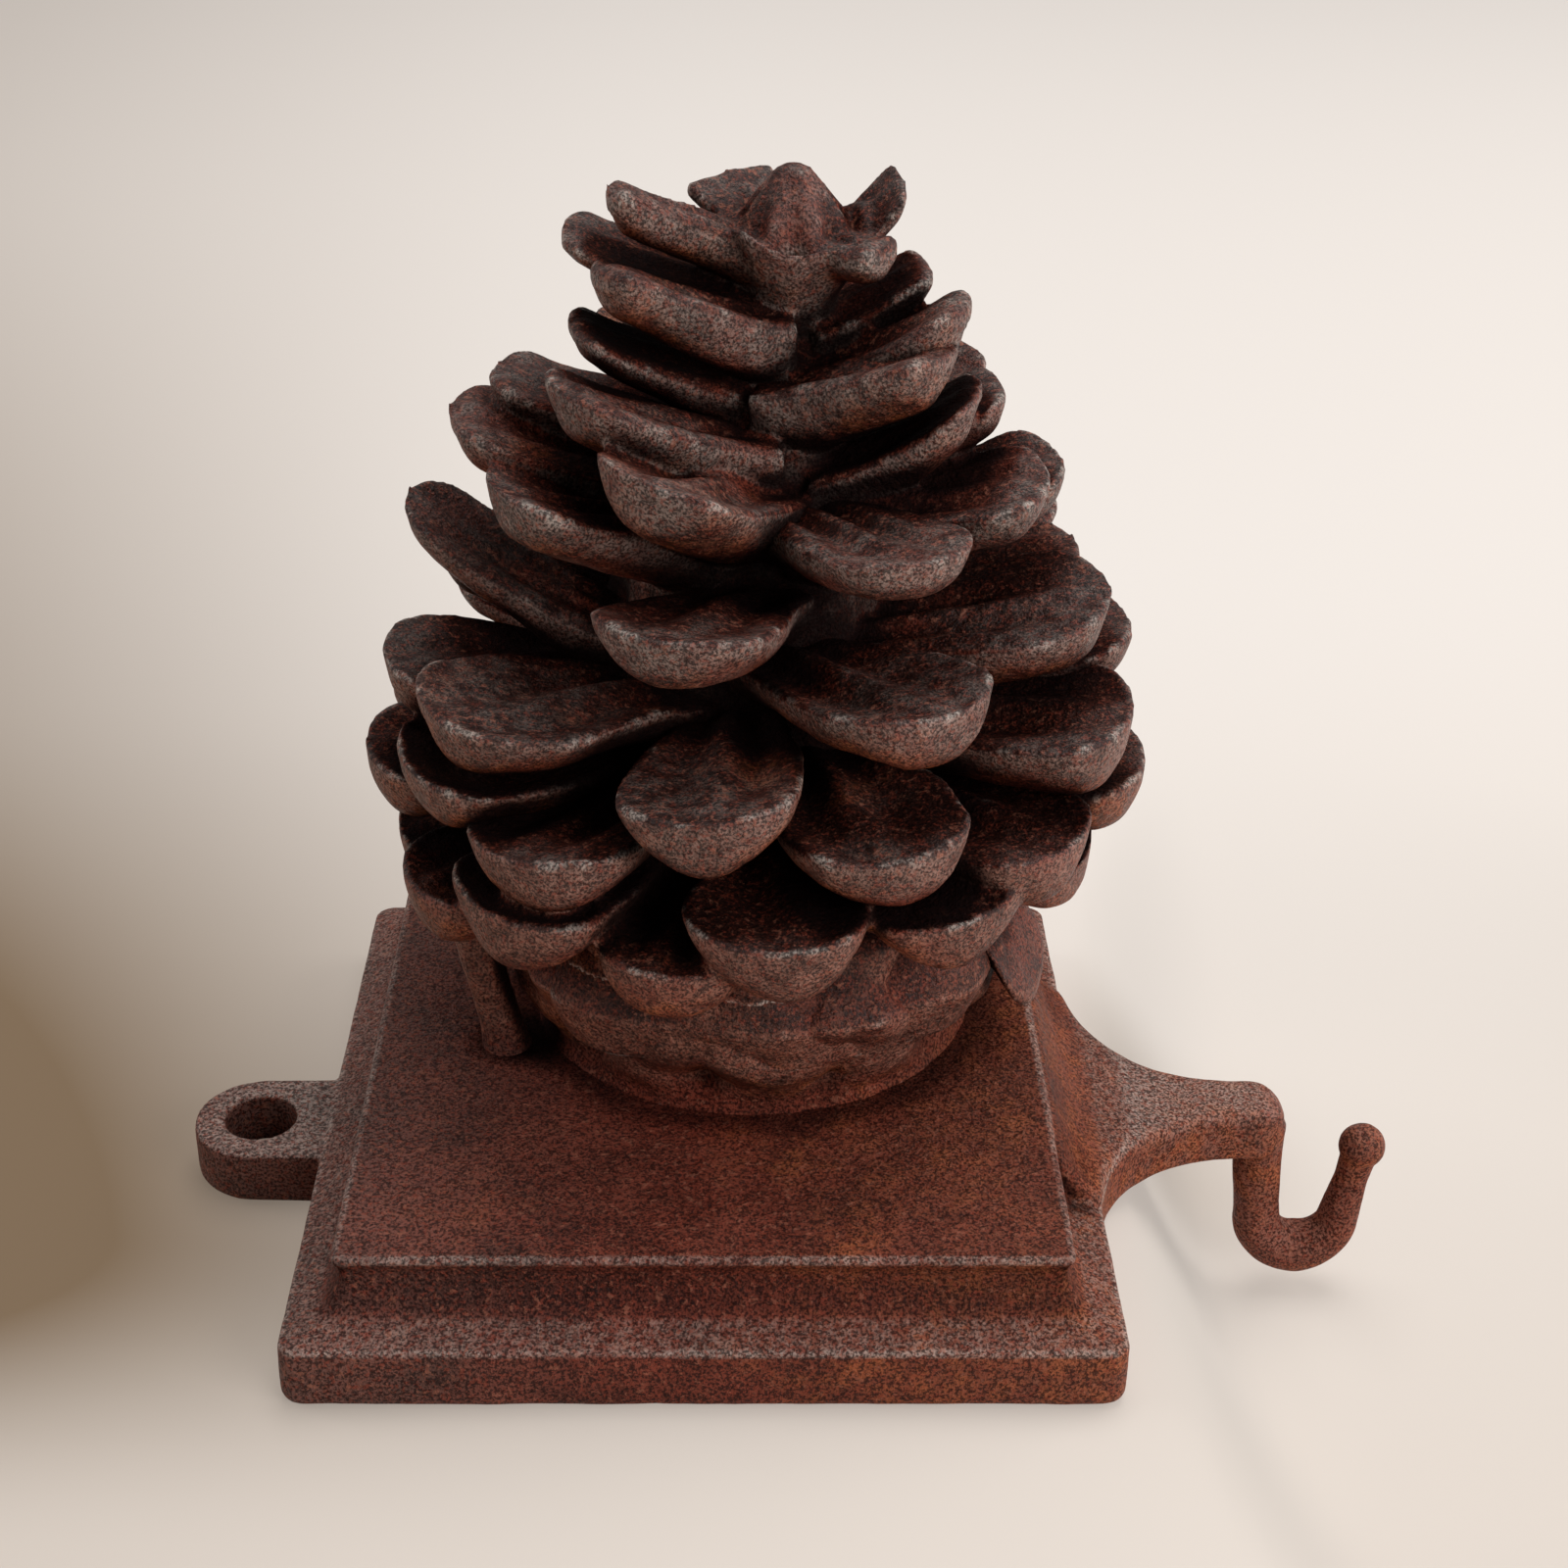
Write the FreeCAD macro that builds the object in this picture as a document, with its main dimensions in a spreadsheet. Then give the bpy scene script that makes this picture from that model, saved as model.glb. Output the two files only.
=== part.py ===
import FreeCAD, Part
import math
import os

import Sketcher

# Mantel stocking holder: one iron casting. An open pine cone stands on a moulded square plinth
# whose underside is cored out. A flat ear with a screw hole leaves the plinth on one side and a
# waisted arm on the other, and the arm ends in a hook that drops in front of the shelf.
# Origin: centre of the plinth's underside. +X runs to the hook, +Z is up.

Vector = FreeCAD.Vector
os.makedirs("parts", exist_ok=True)
doc = FreeCAD.newDocument("mantel_stocking_holder")

# name, value in millimetres or degrees, what it measures
DRIVING = (
    ("plinth_side", 115.0, "side of the square slab"),
    ("slab_height", 9.1, "upright edge of the slab"),
    ("plinth_height", 19.6, "underside to the flat top"),
    ("ledge_inset", 4.5, "flat ledge above the slab"),
    ("ledge_rise", 1.5, "fall of that ledge"),
    ("top_inset", 7.5, "slab edge to the edge of the flat top"),
    ("cove_hollow", 1.0, "how far the cove dips behind a straight slope"),
    ("corner_radius", 3.0, "upright corners"),
    ("wall", 5.0, "thickness over the cored underside"),
    ("side_wall", 6.2, "thickness of the slab's sides at the bottom"),
    ("ear_width", 20.0, "ear with the screw hole"),
    ("ear_thickness", 9.0, "ear and its underside flush with the slab"),
    ("ear_reach", 10.2, "slab edge to the hole's axis"),
    ("ear_offset", -3.5, "ear's middle along Y"),
    ("screw_hole", 10.7, "diameter of the screw hole"),
    ("arm_thickness", 8.9, "flat arm"),
    ("arm_neck", 11.0, "width of the arm at the hook"),
    ("arm_root", 52.0, "width of the arm at the slab"),
    ("arm_offset", 2.0, "arm's middle along Y"),
    ("hook_reach", 28.0, "slab edge to the axis of the hook's shank"),
    ("hook_bar", 7.5, "diameter of the hook's bar"),
    ("hook_gap", 7.0, "clear width inside the hook"),
    ("hook_drop", 24.4, "underside to the lowest point of the hook"),
    ("hook_lean", 2.2, "how far the hook's tip leans outwards"),
    ("tip_height", -0.4, "middle of the round tip above the underside"),
    ("tip_ball", 8.0, "diameter of the round tip"),
    ("embed", 3.0, "how deep the ear and the arm run into the slab"),
    ("cone_x", 7.0, "axis of the cone"),
    ("cone_y", 16.0, "axis of the cone"),
    ("stem_lean", 5.0, "how far the top of the stem leans to the hook's side"),
    ("cone_height", 130.0, "flat top to the point of the bud"),
    ("cone_radius", 58.0, "axis to the tips of the widest scales"),
    ("foot_radius", 36.0, "closed bowl under the open scales"),
    ("core_radius", 18.0, "stem of the cone at half height"),
    ("scale_width", 26.0, "widest scales"),
    ("scale_thickness", 10.0, "thick end of a scale"),
    ("bud_radius", 7.4, "bud at the top"),
    ("strut_radius", 3.0, "foot of the strut beside the bowl"),
    ("strut_x", -30.0, "foot of the strut"),
    ("strut_y", 1.5, "foot of the strut"),
)

# name, formula
DERIVED = (
    ("half_side", "=plinth_side / 2"),
    ("half_ledge", "=half_side - ledge_inset"),
    ("half_cove", "=half_side - (ledge_inset + top_inset) / 2 - cove_hollow"),
    ("half_top", "=half_side - top_inset"),
    ("ledge_height", "=slab_height + ledge_rise"),
    ("cove_height", "=(ledge_height + plinth_height) / 2"),
    ("core_height", "=plinth_height - wall"),
    ("half_core", "=half_side - side_wall"),
    ("half_roof", "=half_top - wall"),
    ("hole_x", "=half_side + ear_reach"),
    ("ear_half", "=ear_width / 2"),
    ("root_x", "=half_side - embed"),
    ("shank_x", "=half_side + hook_reach"),
    ("arm_half", "=arm_neck / 2"),
    ("arm_end", "=shank_x + hook_bar / 2 - arm_half"),
    ("neck_x", "=arm_end - hook_bar / 5"),
    ("root_half", "=arm_root / 2"),
    ("arm_curve", "=((neck_x - half_side) ^ 2 + (root_half - arm_half) ^ 2) / (2 * (root_half - arm_half))"),
    ("curve_y", "=arm_half + arm_curve"),
    ("hook_bar_half", "=hook_bar / 2"),
    ("tip_ball_half", "=tip_ball / 2"),
    ("bend_radius", "=(hook_gap + hook_bar) / 2"),
    ("bend_x", "=shank_x + bend_radius"),
    ("bend_depth", "=hook_drop - bend_radius - hook_bar / 2"),
    ("tip_x", "=bend_x + bend_radius + hook_lean"),
    ("hook_top", "=arm_thickness / 2"),
    ("strut_head", "=strut_radius * 1.3"),
    ("strut_length", "=cone_height * 0.24"),
    ("strut_z", "=core_height + wall / 2"),
)

sheet = doc.addObject("Spreadsheet::Sheet", "Sizes")
for row, (name, value, meaning) in enumerate(DRIVING, start=1):
    sheet.set("A%d" % row, meaning)
    sheet.set("B%d" % row, str(value))
    sheet.setAlias("B%d" % row, name)
doc.recompute()
for row, (name, formula) in enumerate(DERIVED, start=1):
    sheet.set("D%d" % row, formula)
    sheet.setAlias("D%d" % row, name)
    doc.recompute()


def size(name):
    """Value of a named size."""
    return float(sheet.get(name))


def bind(target, path, name):
    """Tie a property or a constraint of target to a named size."""
    target.setExpression(path, "Sizes." + name)


def finished(feature):
    """Recompute and return a feature that has to carry a valid shape."""
    doc.recompute()
    failed = {"Invalid", "Error"} & set(feature.State)
    if failed or feature.Shape.isNull() or not feature.Shape.isValid():
        raise RuntimeError("%s failed: %s" % (feature.Name, feature.State))
    return feature


def pin(sketch, element, point, x_name, y_name):
    """Fix a sketch point at named distances from the origin; a leading minus means the other side."""
    for axis, name in (("DistanceX", x_name), ("DistanceY", y_name)):
        if name is None:
            continue
        value = size(name.lstrip("-"))
        if name.startswith("-"):
            ends = (element, point, -1, 1)
        else:
            ends = (-1, 1, element, point)
        index = sketch.addConstraint(Sketcher.Constraint(axis, *ends, value))
        bind(sketch, "Constraints[%d]" % index, name.lstrip("-"))


def add_line(sketch, start, end):
    return sketch.addGeometry(Part.LineSegment(Vector(*start, 0), Vector(*end, 0)), False)


def add_arc(sketch, centre, radius, first, last):
    """Arc from angle first to angle last in degrees, counter-clockwise."""
    circle = Part.Circle(Vector(*centre, 0), Vector(0, 0, 1), radius)
    arc = Part.ArcOfCircle(circle, math.radians(first), math.radians(last))
    return sketch.addGeometry(arc, False)


def join(sketch, one, one_end, other, other_end):
    sketch.addConstraint(Sketcher.Constraint("Coincident", one, one_end, other, other_end))


# Moulded plinth, cored out from below
def rounded_square(name, half_name, height_name):
    """Square outline about the Z axis with rounded corners, at a named height."""
    sketch = doc.addObject("Sketcher::SketchObject", name)
    half = size(half_name)
    radius = size("corner_radius")
    inner = half - radius
    sides = (
        ((-inner, -half), (inner, -half)),
        ((half, -inner), (half, inner)),
        ((inner, half), (-inner, half)),
        ((-half, inner), (-half, -inner)),
    )
    corners = ((inner, -inner, 270), (inner, inner, 0), (-inner, inner, 90), (-inner, -inner, 180))
    lines = [add_line(sketch, start, end) for start, end in sides]
    arcs = [add_arc(sketch, (x, y), radius, turn, turn + 90) for x, y, turn in corners]
    for index, (line, arc) in enumerate(zip(lines, arcs)):
        sketch.addConstraint(Sketcher.Constraint("Tangent", line, 2, arc, 1))
        sketch.addConstraint(Sketcher.Constraint("Tangent", arc, 2, lines[(index + 1) % 4], 1))
    sketch.addConstraint(Sketcher.Constraint("Horizontal", lines[0]))
    sketch.addConstraint(Sketcher.Constraint("Vertical", lines[1]))
    sketch.addConstraint(Sketcher.Constraint("Horizontal", lines[2]))
    sketch.addConstraint(Sketcher.Constraint("Vertical", lines[3]))
    pin(sketch, lines[0], 1, None, "-" + half_name)
    pin(sketch, lines[1], 1, half_name, None)
    pin(sketch, lines[2], 1, None, half_name)
    pin(sketch, lines[3], 1, "-" + half_name, None)
    for arc in arcs[1:]:
        sketch.addConstraint(Sketcher.Constraint("Equal", arcs[0], arc))
    index = sketch.addConstraint(Sketcher.Constraint("Radius", arcs[0], radius))
    bind(sketch, "Constraints[%d]" % index, "corner_radius")
    if height_name:
        bind(sketch, "Placement.Base.z", height_name)
    return sketch


def lofted(name, sections):
    loft = doc.addObject("Part::Loft", name)
    loft.Sections = sections
    loft.Solid = True
    loft.Ruled = True
    return finished(loft)


moulding = lofted("Moulding", [
    rounded_square("Underside", "half_side", None),
    rounded_square("SlabTop", "half_side", "slab_height"),
    rounded_square("LedgeEnd", "half_ledge", "ledge_height"),
    rounded_square("CoveMiddle", "half_cove", "cove_height"),
    rounded_square("FlatTop", "half_top", "plinth_height"),
])
cored_space = lofted("CoredSpace", [
    rounded_square("CoreMouth", "half_core", None),
    rounded_square("CoreRoof", "half_roof", "core_height"),
])
plinth = doc.addObject("Part::Cut", "Plinth")
plinth.Base = moulding
plinth.Tool = cored_space
finished(plinth)


# Ear with the screw hole
def flat_body(name, offset_name):
    """Body with a sketch on its ground plane, set off along Y."""
    body = doc.addObject("PartDesign::Body", name)
    ground = [plane for plane in body.Origin.OriginFeatures if plane.Role == "XY_Plane"][0]
    sketch = body.newObject("Sketcher::SketchObject", name + "Outline")
    sketch.AttachmentSupport = (ground, [""])
    sketch.MapMode = "FlatFace"
    bind(body, "Placement.Base.y", offset_name)
    return body, sketch, ground


def padded(body, sketch, thickness_name):
    pad = body.newObject("PartDesign::Pad", body.Name + "Pad")
    pad.Profile = sketch
    pad.Length = size(thickness_name)
    bind(pad, "Length", thickness_name)
    return finished(pad)


ear, ear_outline, ear_ground = flat_body("Ear", "ear_offset")
hole_x = size("hole_x")
ear_half = size("ear_half")
root_x = size("root_x")
front = add_line(ear_outline, (-hole_x, -ear_half), (-root_x, -ear_half))
inner = add_line(ear_outline, (-root_x, -ear_half), (-root_x, ear_half))
back = add_line(ear_outline, (-root_x, ear_half), (-hole_x, ear_half))
round_end = add_arc(ear_outline, (-hole_x, 0), ear_half, 90, 270)
join(ear_outline, front, 2, inner, 1)
join(ear_outline, inner, 2, back, 1)
join(ear_outline, back, 2, round_end, 1)
join(ear_outline, round_end, 2, front, 1)
pin(ear_outline, front, 1, "-hole_x", "-ear_half")
pin(ear_outline, inner, 1, "-root_x", "-ear_half")
pin(ear_outline, back, 1, "-root_x", "ear_half")
pin(ear_outline, round_end, 1, "-hole_x", "ear_half")
pin(ear_outline, round_end, 3, "-hole_x", None)
padded(ear, ear_outline, "ear_thickness")
hole_outline = ear.newObject("Sketcher::SketchObject", "ScrewHoleOutline")
hole_outline.AttachmentSupport = (ear_ground, [""])
hole_outline.MapMode = "FlatFace"
hole_circle = hole_outline.addGeometry(
    Part.Circle(Vector(-hole_x, 0, 0), Vector(0, 0, 1), size("screw_hole") / 2), False)
hole_outline.addConstraint(Sketcher.Constraint("PointOnObject", hole_circle, 3, -1))
centre_index = hole_outline.addConstraint(
    Sketcher.Constraint("DistanceX", hole_circle, 3, -1, 1, hole_x))
bind(hole_outline, "Constraints[%d]" % centre_index, "hole_x")
width_index = hole_outline.addConstraint(
    Sketcher.Constraint("Diameter", hole_circle, size("screw_hole")))
bind(hole_outline, "Constraints[%d]" % width_index, "screw_hole")
solid_ear_volume = ear.Shape.Volume
screw_hole = ear.newObject("PartDesign::Pocket", "ScrewHole")
screw_hole.Profile = hole_outline
screw_hole.Length = size("ear_thickness")
screw_hole.Reversed = True
bind(screw_hole, "Length", "ear_thickness")
finished(screw_hole)
hole_volume = math.pi * size("screw_hole") ** 2 / 4 * size("ear_thickness")
if abs(solid_ear_volume - ear.Shape.Volume - hole_volume) > 0.01 * hole_volume:
    raise RuntimeError("the screw hole doesn't go through the ear")

# Waisted arm
arm, arm_outline, arm_ground = flat_body("Arm", "arm_offset")
shank_x = size("shank_x")
neck_x = size("neck_x")
arm_half = size("arm_half")
curve = size("arm_curve")
curve_y = size("curve_y")
side_x = size("half_side")
root_half = size("root_half")
root_turn = math.degrees(math.atan2(curve_y - root_half, neck_x - side_x))
end_x = size("arm_end")
arm_inner = add_line(arm_outline, (root_x, root_half), (root_x, -root_half))
arm_front = add_line(arm_outline, (root_x, -root_half), (side_x, -root_half))
front_curve = add_arc(arm_outline, (neck_x, -curve_y), curve, 90, 180 - root_turn)
front_neck = add_line(arm_outline, (neck_x, -arm_half), (end_x, -arm_half))
arm_end = add_arc(arm_outline, (end_x, 0), arm_half, -90, 90)
back_neck = add_line(arm_outline, (end_x, arm_half), (neck_x, arm_half))
back_curve = add_arc(arm_outline, (neck_x, curve_y), curve, 180 + root_turn, 270)
arm_back = add_line(arm_outline, (side_x, root_half), (root_x, root_half))
join(arm_outline, arm_inner, 2, arm_front, 1)
join(arm_outline, arm_front, 2, front_curve, 2)
join(arm_outline, front_curve, 1, front_neck, 1)
join(arm_outline, front_neck, 2, arm_end, 1)
join(arm_outline, arm_end, 2, back_neck, 1)
join(arm_outline, back_neck, 2, back_curve, 2)
join(arm_outline, back_curve, 1, arm_back, 1)
join(arm_outline, arm_back, 2, arm_inner, 1)
pin(arm_outline, arm_inner, 1, "root_x", "root_half")
pin(arm_outline, arm_inner, 2, "root_x", "-root_half")
pin(arm_outline, arm_front, 2, "half_side", "-root_half")
pin(arm_outline, front_neck, 1, "neck_x", "-arm_half")
pin(arm_outline, front_neck, 2, "arm_end", "-arm_half")
pin(arm_outline, back_neck, 1, "arm_end", "arm_half")
pin(arm_outline, back_neck, 2, "neck_x", "arm_half")
pin(arm_outline, arm_back, 1, "half_side", "root_half")
pin(arm_outline, arm_end, 3, "arm_end", None)
for bend in (front_curve, back_curve):
    radius_index = arm_outline.addConstraint(Sketcher.Constraint("Radius", bend, curve))
    bind(arm_outline, "Constraints[%d]" % radius_index, "arm_curve")
padded(arm, arm_outline, "arm_thickness")

# Hook: round bar down from the arm's end, round a half turn and up to a ball
hook_path = doc.addObject("Sketcher::SketchObject", "HookPath")
hook_path.Placement = FreeCAD.Placement(Vector(0, 0, 0), FreeCAD.Rotation(Vector(1, 0, 0), 90))
bind(hook_path, "Placement.Base.y", "arm_offset")
bend_radius = size("bend_radius")
bend_x = size("bend_x")
bend_depth = size("bend_depth")
tip_x = size("tip_x")
tip_height = size("tip_height")
tip_away = math.hypot(tip_x - bend_x, tip_height + bend_depth)
tip_turn = math.degrees(math.atan2(tip_height + bend_depth, tip_x - bend_x)
                        - math.acos(bend_radius / tip_away))
leave = (bend_x + bend_radius * math.cos(math.radians(tip_turn)),
         bend_radius * math.sin(math.radians(tip_turn)) - bend_depth)
shank = add_line(hook_path, (shank_x, size("hook_top")), (shank_x, -bend_depth))
bend = add_arc(hook_path, (bend_x, -bend_depth), bend_radius, 180, 360 + tip_turn)
rise = add_line(hook_path, leave, (tip_x, tip_height))
join(hook_path, shank, 2, bend, 1)
hook_path.addConstraint(Sketcher.Constraint("Tangent", bend, 2, rise, 1))
pin(hook_path, shank, 1, "shank_x", "hook_top")
pin(hook_path, shank, 2, "shank_x", "-bend_depth")
pin(hook_path, bend, 3, "bend_x", "-bend_depth")
pin(hook_path, rise, 2, "tip_x", "tip_height")
finished(hook_path)
bar_section = doc.addObject("Part::Circle", "BarSection")
bind(bar_section, "Radius", "hook_bar_half")
bind(bar_section, "Placement.Base.x", "shank_x")
bind(bar_section, "Placement.Base.y", "arm_offset")
bind(bar_section, "Placement.Base.z", "hook_top")
doc.recompute()
hook = doc.addObject("Part::Sweep", "HookBar")
hook.Sections = [bar_section]
hook.Spine = (hook_path, ["Edge1", "Edge2", "Edge3"])
hook.Solid = True
finished(hook)
tip = doc.addObject("Part::Sphere", "HookTip")
bind(tip, "Radius", "tip_ball_half")
bind(tip, "Placement.Base.x", "tip_x")
bind(tip, "Placement.Base.y", "arm_offset")
bind(tip, "Placement.Base.z", "tip_height")
finished(tip)

# Stem of the cone: closed bowl, tapering stem, waist and the cup round the bud
# radius as a share of a named size, height above the flat top as a share of the cone
STEM_PROFILE = (
    ("foot_radius", 0.88, -0.02),
    ("foot_radius", 0.92, 0.02),
    ("foot_radius", 1.04, 0.08),
    ("foot_radius", 1.12, 0.14),
    ("foot_radius", 1.00, 0.21),
    ("core_radius", 1.53, 0.31),
    ("core_radius", 1.19, 0.48),
    ("core_radius", 0.97, 0.60),
    ("core_radius", 0.72, 0.715),
    ("core_radius", 0.46, 0.79),
    ("core_radius", 0.29, 0.83),
    ("bud_radius", 0.95, 0.87),
    ("bud_radius", 1.42, 0.935),
)
CUP_PROFILE = (("bud_radius", 1.20, 0.94), ("bud_radius", 0.60, 0.90))
BUD_PROFILE = (
    ("bud_radius", 0.86, 0.88),
    ("bud_radius", 1.10, 0.92),
    ("bud_radius", 0.90, 0.95),
    ("bud_radius", 0.45, 0.985),
    ("bud_radius", 0.14, 1.00),
)
STEM_SIDES = 20
BUD_SIDES = 12
# the stretch of the cone's height over which the stem leans
LEAN_FROM = 0.54
LEAN_TO = 0.89
# ridges of the scales pressed flat against the bowl, as a share of its radius
RIDGE = 0.05


def facet(*corners):
    return Part.Face(Part.makePolygon(list(corners) + [corners[0]]))


def closed_solid(faces):
    solid = Part.Solid(Part.Shell(faces))
    if solid.Volume < 0:
        solid.reverse()
    return solid


def lean_at(level):
    """How far the stem stands off the cone's axis at a height: a smooth step."""
    low = size("cone_height") * LEAN_FROM
    high = size("cone_height") * LEAN_TO
    share = min(max((level - low) / (high - low), 0.0), 1.0)
    return size("stem_lean") * share ** 2 * (3 - 2 * share)


def hewn(name, profile, sides):
    """Many-sided solid about the stem's line, one polygon for each profile row.

    The bowl's corners stand in and out by turns, so that slanting ridges cross on it.
    """
    rings = []
    for row, (radius_name, share, part) in enumerate(profile):
        radius = size(radius_name) * share
        ridge = RIDGE if radius_name == "foot_radius" else 0.0
        level = size("cone_height") * part
        base = Vector(size("cone_x") + lean_at(level), size("cone_y"), size("plinth_height") + level)
        ring = []
        for side in range(sides):
            turn = 2 * math.pi * side / sides
            reach = radius * (1 + ridge * (-1) ** (row + side))
            ring.append(base + Vector(math.cos(turn), math.sin(turn), 0) * reach)
        rings.append(ring)
    faces = [facet(*rings[0]), facet(*rings[-1])]
    for low, high in zip(rings, rings[1:]):
        for side in range(sides):
            following = (side + 1) % sides
            faces.append(facet(low[side], low[following], high[following]))
            faces.append(facet(low[side], high[following], high[side]))
    feature = doc.addObject("Part::Feature", name)
    feature.Shape = closed_solid(faces)
    return finished(feature)


stem = hewn("Stem", STEM_PROFILE + CUP_PROFILE, STEM_SIDES)
bud = hewn("Bud", BUD_PROFILE, BUD_SIDES)

# Strut beside the bowl, from the flat top up to the low scales
STRUT_LEAN = Vector(-0.17, -0.12, 1.0)
strut = doc.addObject("Part::Cone", "Strut")
strut.Placement = FreeCAD.Placement(Vector(), FreeCAD.Rotation(Vector(0, 0, 1), STRUT_LEAN))
for path, name in (
        ("Radius1", "strut_radius"), ("Radius2", "strut_head"), ("Height", "strut_length"),
        ("Placement.Base.x", "strut_x"), ("Placement.Base.y", "strut_y"), ("Placement.Base.z", "strut_z")):
    bind(strut, path, name)
finished(strut)

# Scales. Each is a paddle on a narrower stalk: its top is dished behind a thick rounded rim and
# its belly is full. A tier gives the stalk's share of the width and its depth at the root.
# scale: azimuth of the tip and of the root in degrees, then in hundredths the tip's distance from
# the axis, its height, the width and the thickness, then the slope and the roll in degrees
TIERS = (
    ("Crown", 0.95, 1.1, (
        (-160, -150, 35, 101, 33, 70, 32, 0),
        (179, 172, 45, 95, 58, 50, 26, -6),
        (8, 20, 35, 99, 46, 50, 36, 10),
        (-28, -40, 34, 94, 35, 55, 6, 6),
        (108, 105, 25, 97, 58, 45, 30, 0),
    )),
    ("Upper", 0.92, 1.5, (
        (-145, -105, 44, 94, 50, 80, 31, 4),
        (-20, -60, 52, 90, 54, 85, 27, 0),
        (5, 5, 41, 90, 54, 55, 24, 0),
        (-165, -155, 45, 87, 62, 60, 26, -6),
        (100, 90, 47, 89, 65, 60, 26, 0),
        (60, 60, 43, 88, 58, 55, 28, 0),
        (145, 145, 43, 88, 58, 60, 28, 0),
    )),
    ("Shoulder", 0.86, 1.5, (
        (-140, -105, 59, 84, 69, 90, 28, 0),
        (-36, -102, 53, 86, 65, 85, 22, 0),
        (-174, -165, 72, 77, 88, 85, 19, -5),
        (172, 172, 64, 78, 77, 70, 18, 0),
        (2, 0, 59, 78, 73, 75, 24, 0),
        (-22, -55, 56, 81, 62, 85, 33, 5),
        (75, 75, 64, 79, 81, 70, 24, 0),
        (118, 118, 62, 80, 81, 70, 24, 0),
        (35, 35, 62, 78, 81, 70, 24, 0),
    )),
    ("Middle", 0.76, 1.5, (
        (-146, -125, 72, 73, 77, 90, 22, 0),
        (-112, -90, 68, 78, 81, 95, 24, -9),
        (-25, -70, 74, 72, 85, 90, 14, 3),
        (4, -10, 74, 69, 85, 90, 20, 0),
        (-178, -150, 84, 66, 58, 85, 31, -6),
        (50, 50, 76, 68, 92, 80, 20, 0),
        (95, 95, 78, 69, 96, 80, 20, 0),
        (140, 140, 78, 67, 92, 80, 20, 0),
    )),
    ("Lower", 0.66, 1.1, (
        (-56, -94, 78, 70, 77, 80, 8, 3),
        (-12, -60, 87, 58, 96, 105, 14, 3),
        (-108, -85, 81, 64, 92, 90, 14, 5),
        (8, 0, 81, 58, 85, 90, 12, 0),
        (4, 0, 95, 49, 96, 100, 9, 0),
        (32, 30, 86, 58, 96, 90, 14, 0),
        (72, 72, 88, 59, 100, 90, 14, 0),
        (118, 118, 88, 58, 100, 90, 14, 0),
        (160, 158, 83, 55, 88, 90, 14, 0),
    )),
    ("Wide", 0.56, 0.7, (
        (-145, -118, 94, 52, 108, 100, 10, 0),
        (-168, -168, 92, 50, 92, 95, 9, 0),
        (-59, -95, 91, 56, 92, 110, 9, 3),
        (-24, -45, 98, 47, 108, 120, 7, 3),
        (-148, -138, 97, 43, 104, 95, 7, 0),
        (-169, -169, 98, 38, 100, 110, 6, 0),
        (-12, -12, 100, 37, 96, 110, 5, 0),
        (50, 50, 97, 48, 104, 95, 9, 0),
        (95, 95, 97, 48, 104, 95, 9, 0),
        (138, 138, 97, 46, 104, 95, 9, 0),
        (28, 28, 100, 39, 100, 95, 5, 0),
        (72, 72, 100, 38, 100, 95, 5, 0),
        (116, 116, 100, 38, 100, 95, 5, 0),
        (160, 160, 98, 38, 100, 95, 5, 0),
    )),
    ("Front", 0.60, 0.7, (
        (-98, -98, 95, 47, 96, 105, 3, 4),
        (-68, -75, 97, 42, 98, 110, 2, 3),
        (-41, -45, 98, 37, 96, 110, 2, 4),
        (-126, -118, 98, 40, 96, 105, 3, 6),
    )),
    ("Low", 0.62, 0.7, (
        (-86, -86, 98, 33, 94, 115, -2, 2),
        (-58, -58, 97, 33, 94, 110, -2, 6),
        (-128, -126, 98, 32, 100, 115, -2, 2),
        (-148, -148, 97, 28, 85, 110, -4, 0),
        (-104, -103, 93, 28, 85, 110, -8, -3),
        (-172, -172, 91, 27, 92, 95, -4, 0),
        (-24, -24, 90, 28, 92, 95, -4, 0),
        (12, 12, 93, 28, 92, 95, -4, 0),
        (46, 46, 93, 28, 92, 95, -4, 0),
        (80, 80, 93, 28, 92, 95, -4, 0),
        (114, 114, 93, 28, 92, 95, -4, 0),
        (150, 150, 93, 27, 92, 95, -4, 0),
    )),
    ("Hanging", 0.70, 1.1, (
        (-20, -20, 78, 9, 77, 65, -58, 0),
        (-150, -150, 65, 15, 69, 60, -40, 0),
    )),
)
STATIONS = (0.0, 0.36, 0.64, 0.84, 0.955)
WIDEST = 0.66
THICKEST = 0.88
SMALLEST_ROOT = 0.8
# half section: share of the half width, share of the thickness, and which thickness it follows
SECTION = (
    (-1.00, -0.12, "belly"), (-0.80, 0.03, "top"), (0.0, -0.10, "top"), (0.80, 0.03, "top"),
    (1.00, -0.12, "belly"), (0.76, -0.68, "belly"), (0.0, -1.0, "belly"), (-0.76, -0.68, "belly"),
)


def stem_radius(level):
    """Radius of the stem at a height above the flat top."""
    outline = [(size(name) * share, size("cone_height") * part) for name, share, part in STEM_PROFILE]
    for (low_radius, low), (high_radius, high) in zip(outline, outline[1:]):
        if level <= high:
            return low_radius + (high_radius - low_radius) * max(level - low, 0.0) / (high - low)
    return outline[-1][0]


def width_share(along, stalk):
    """Half width along a scale: swells from the stalk, then closes in a blunt round end."""
    if along < WIDEST:
        swell = 0.5 - 0.5 * math.cos(math.pi * along / WIDEST)
        return stalk + (1 - stalk) * swell ** 1.2
    closing = (along - WIDEST) / (1 - WIDEST)
    return (1 - closing ** 2.4) ** 0.45


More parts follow.
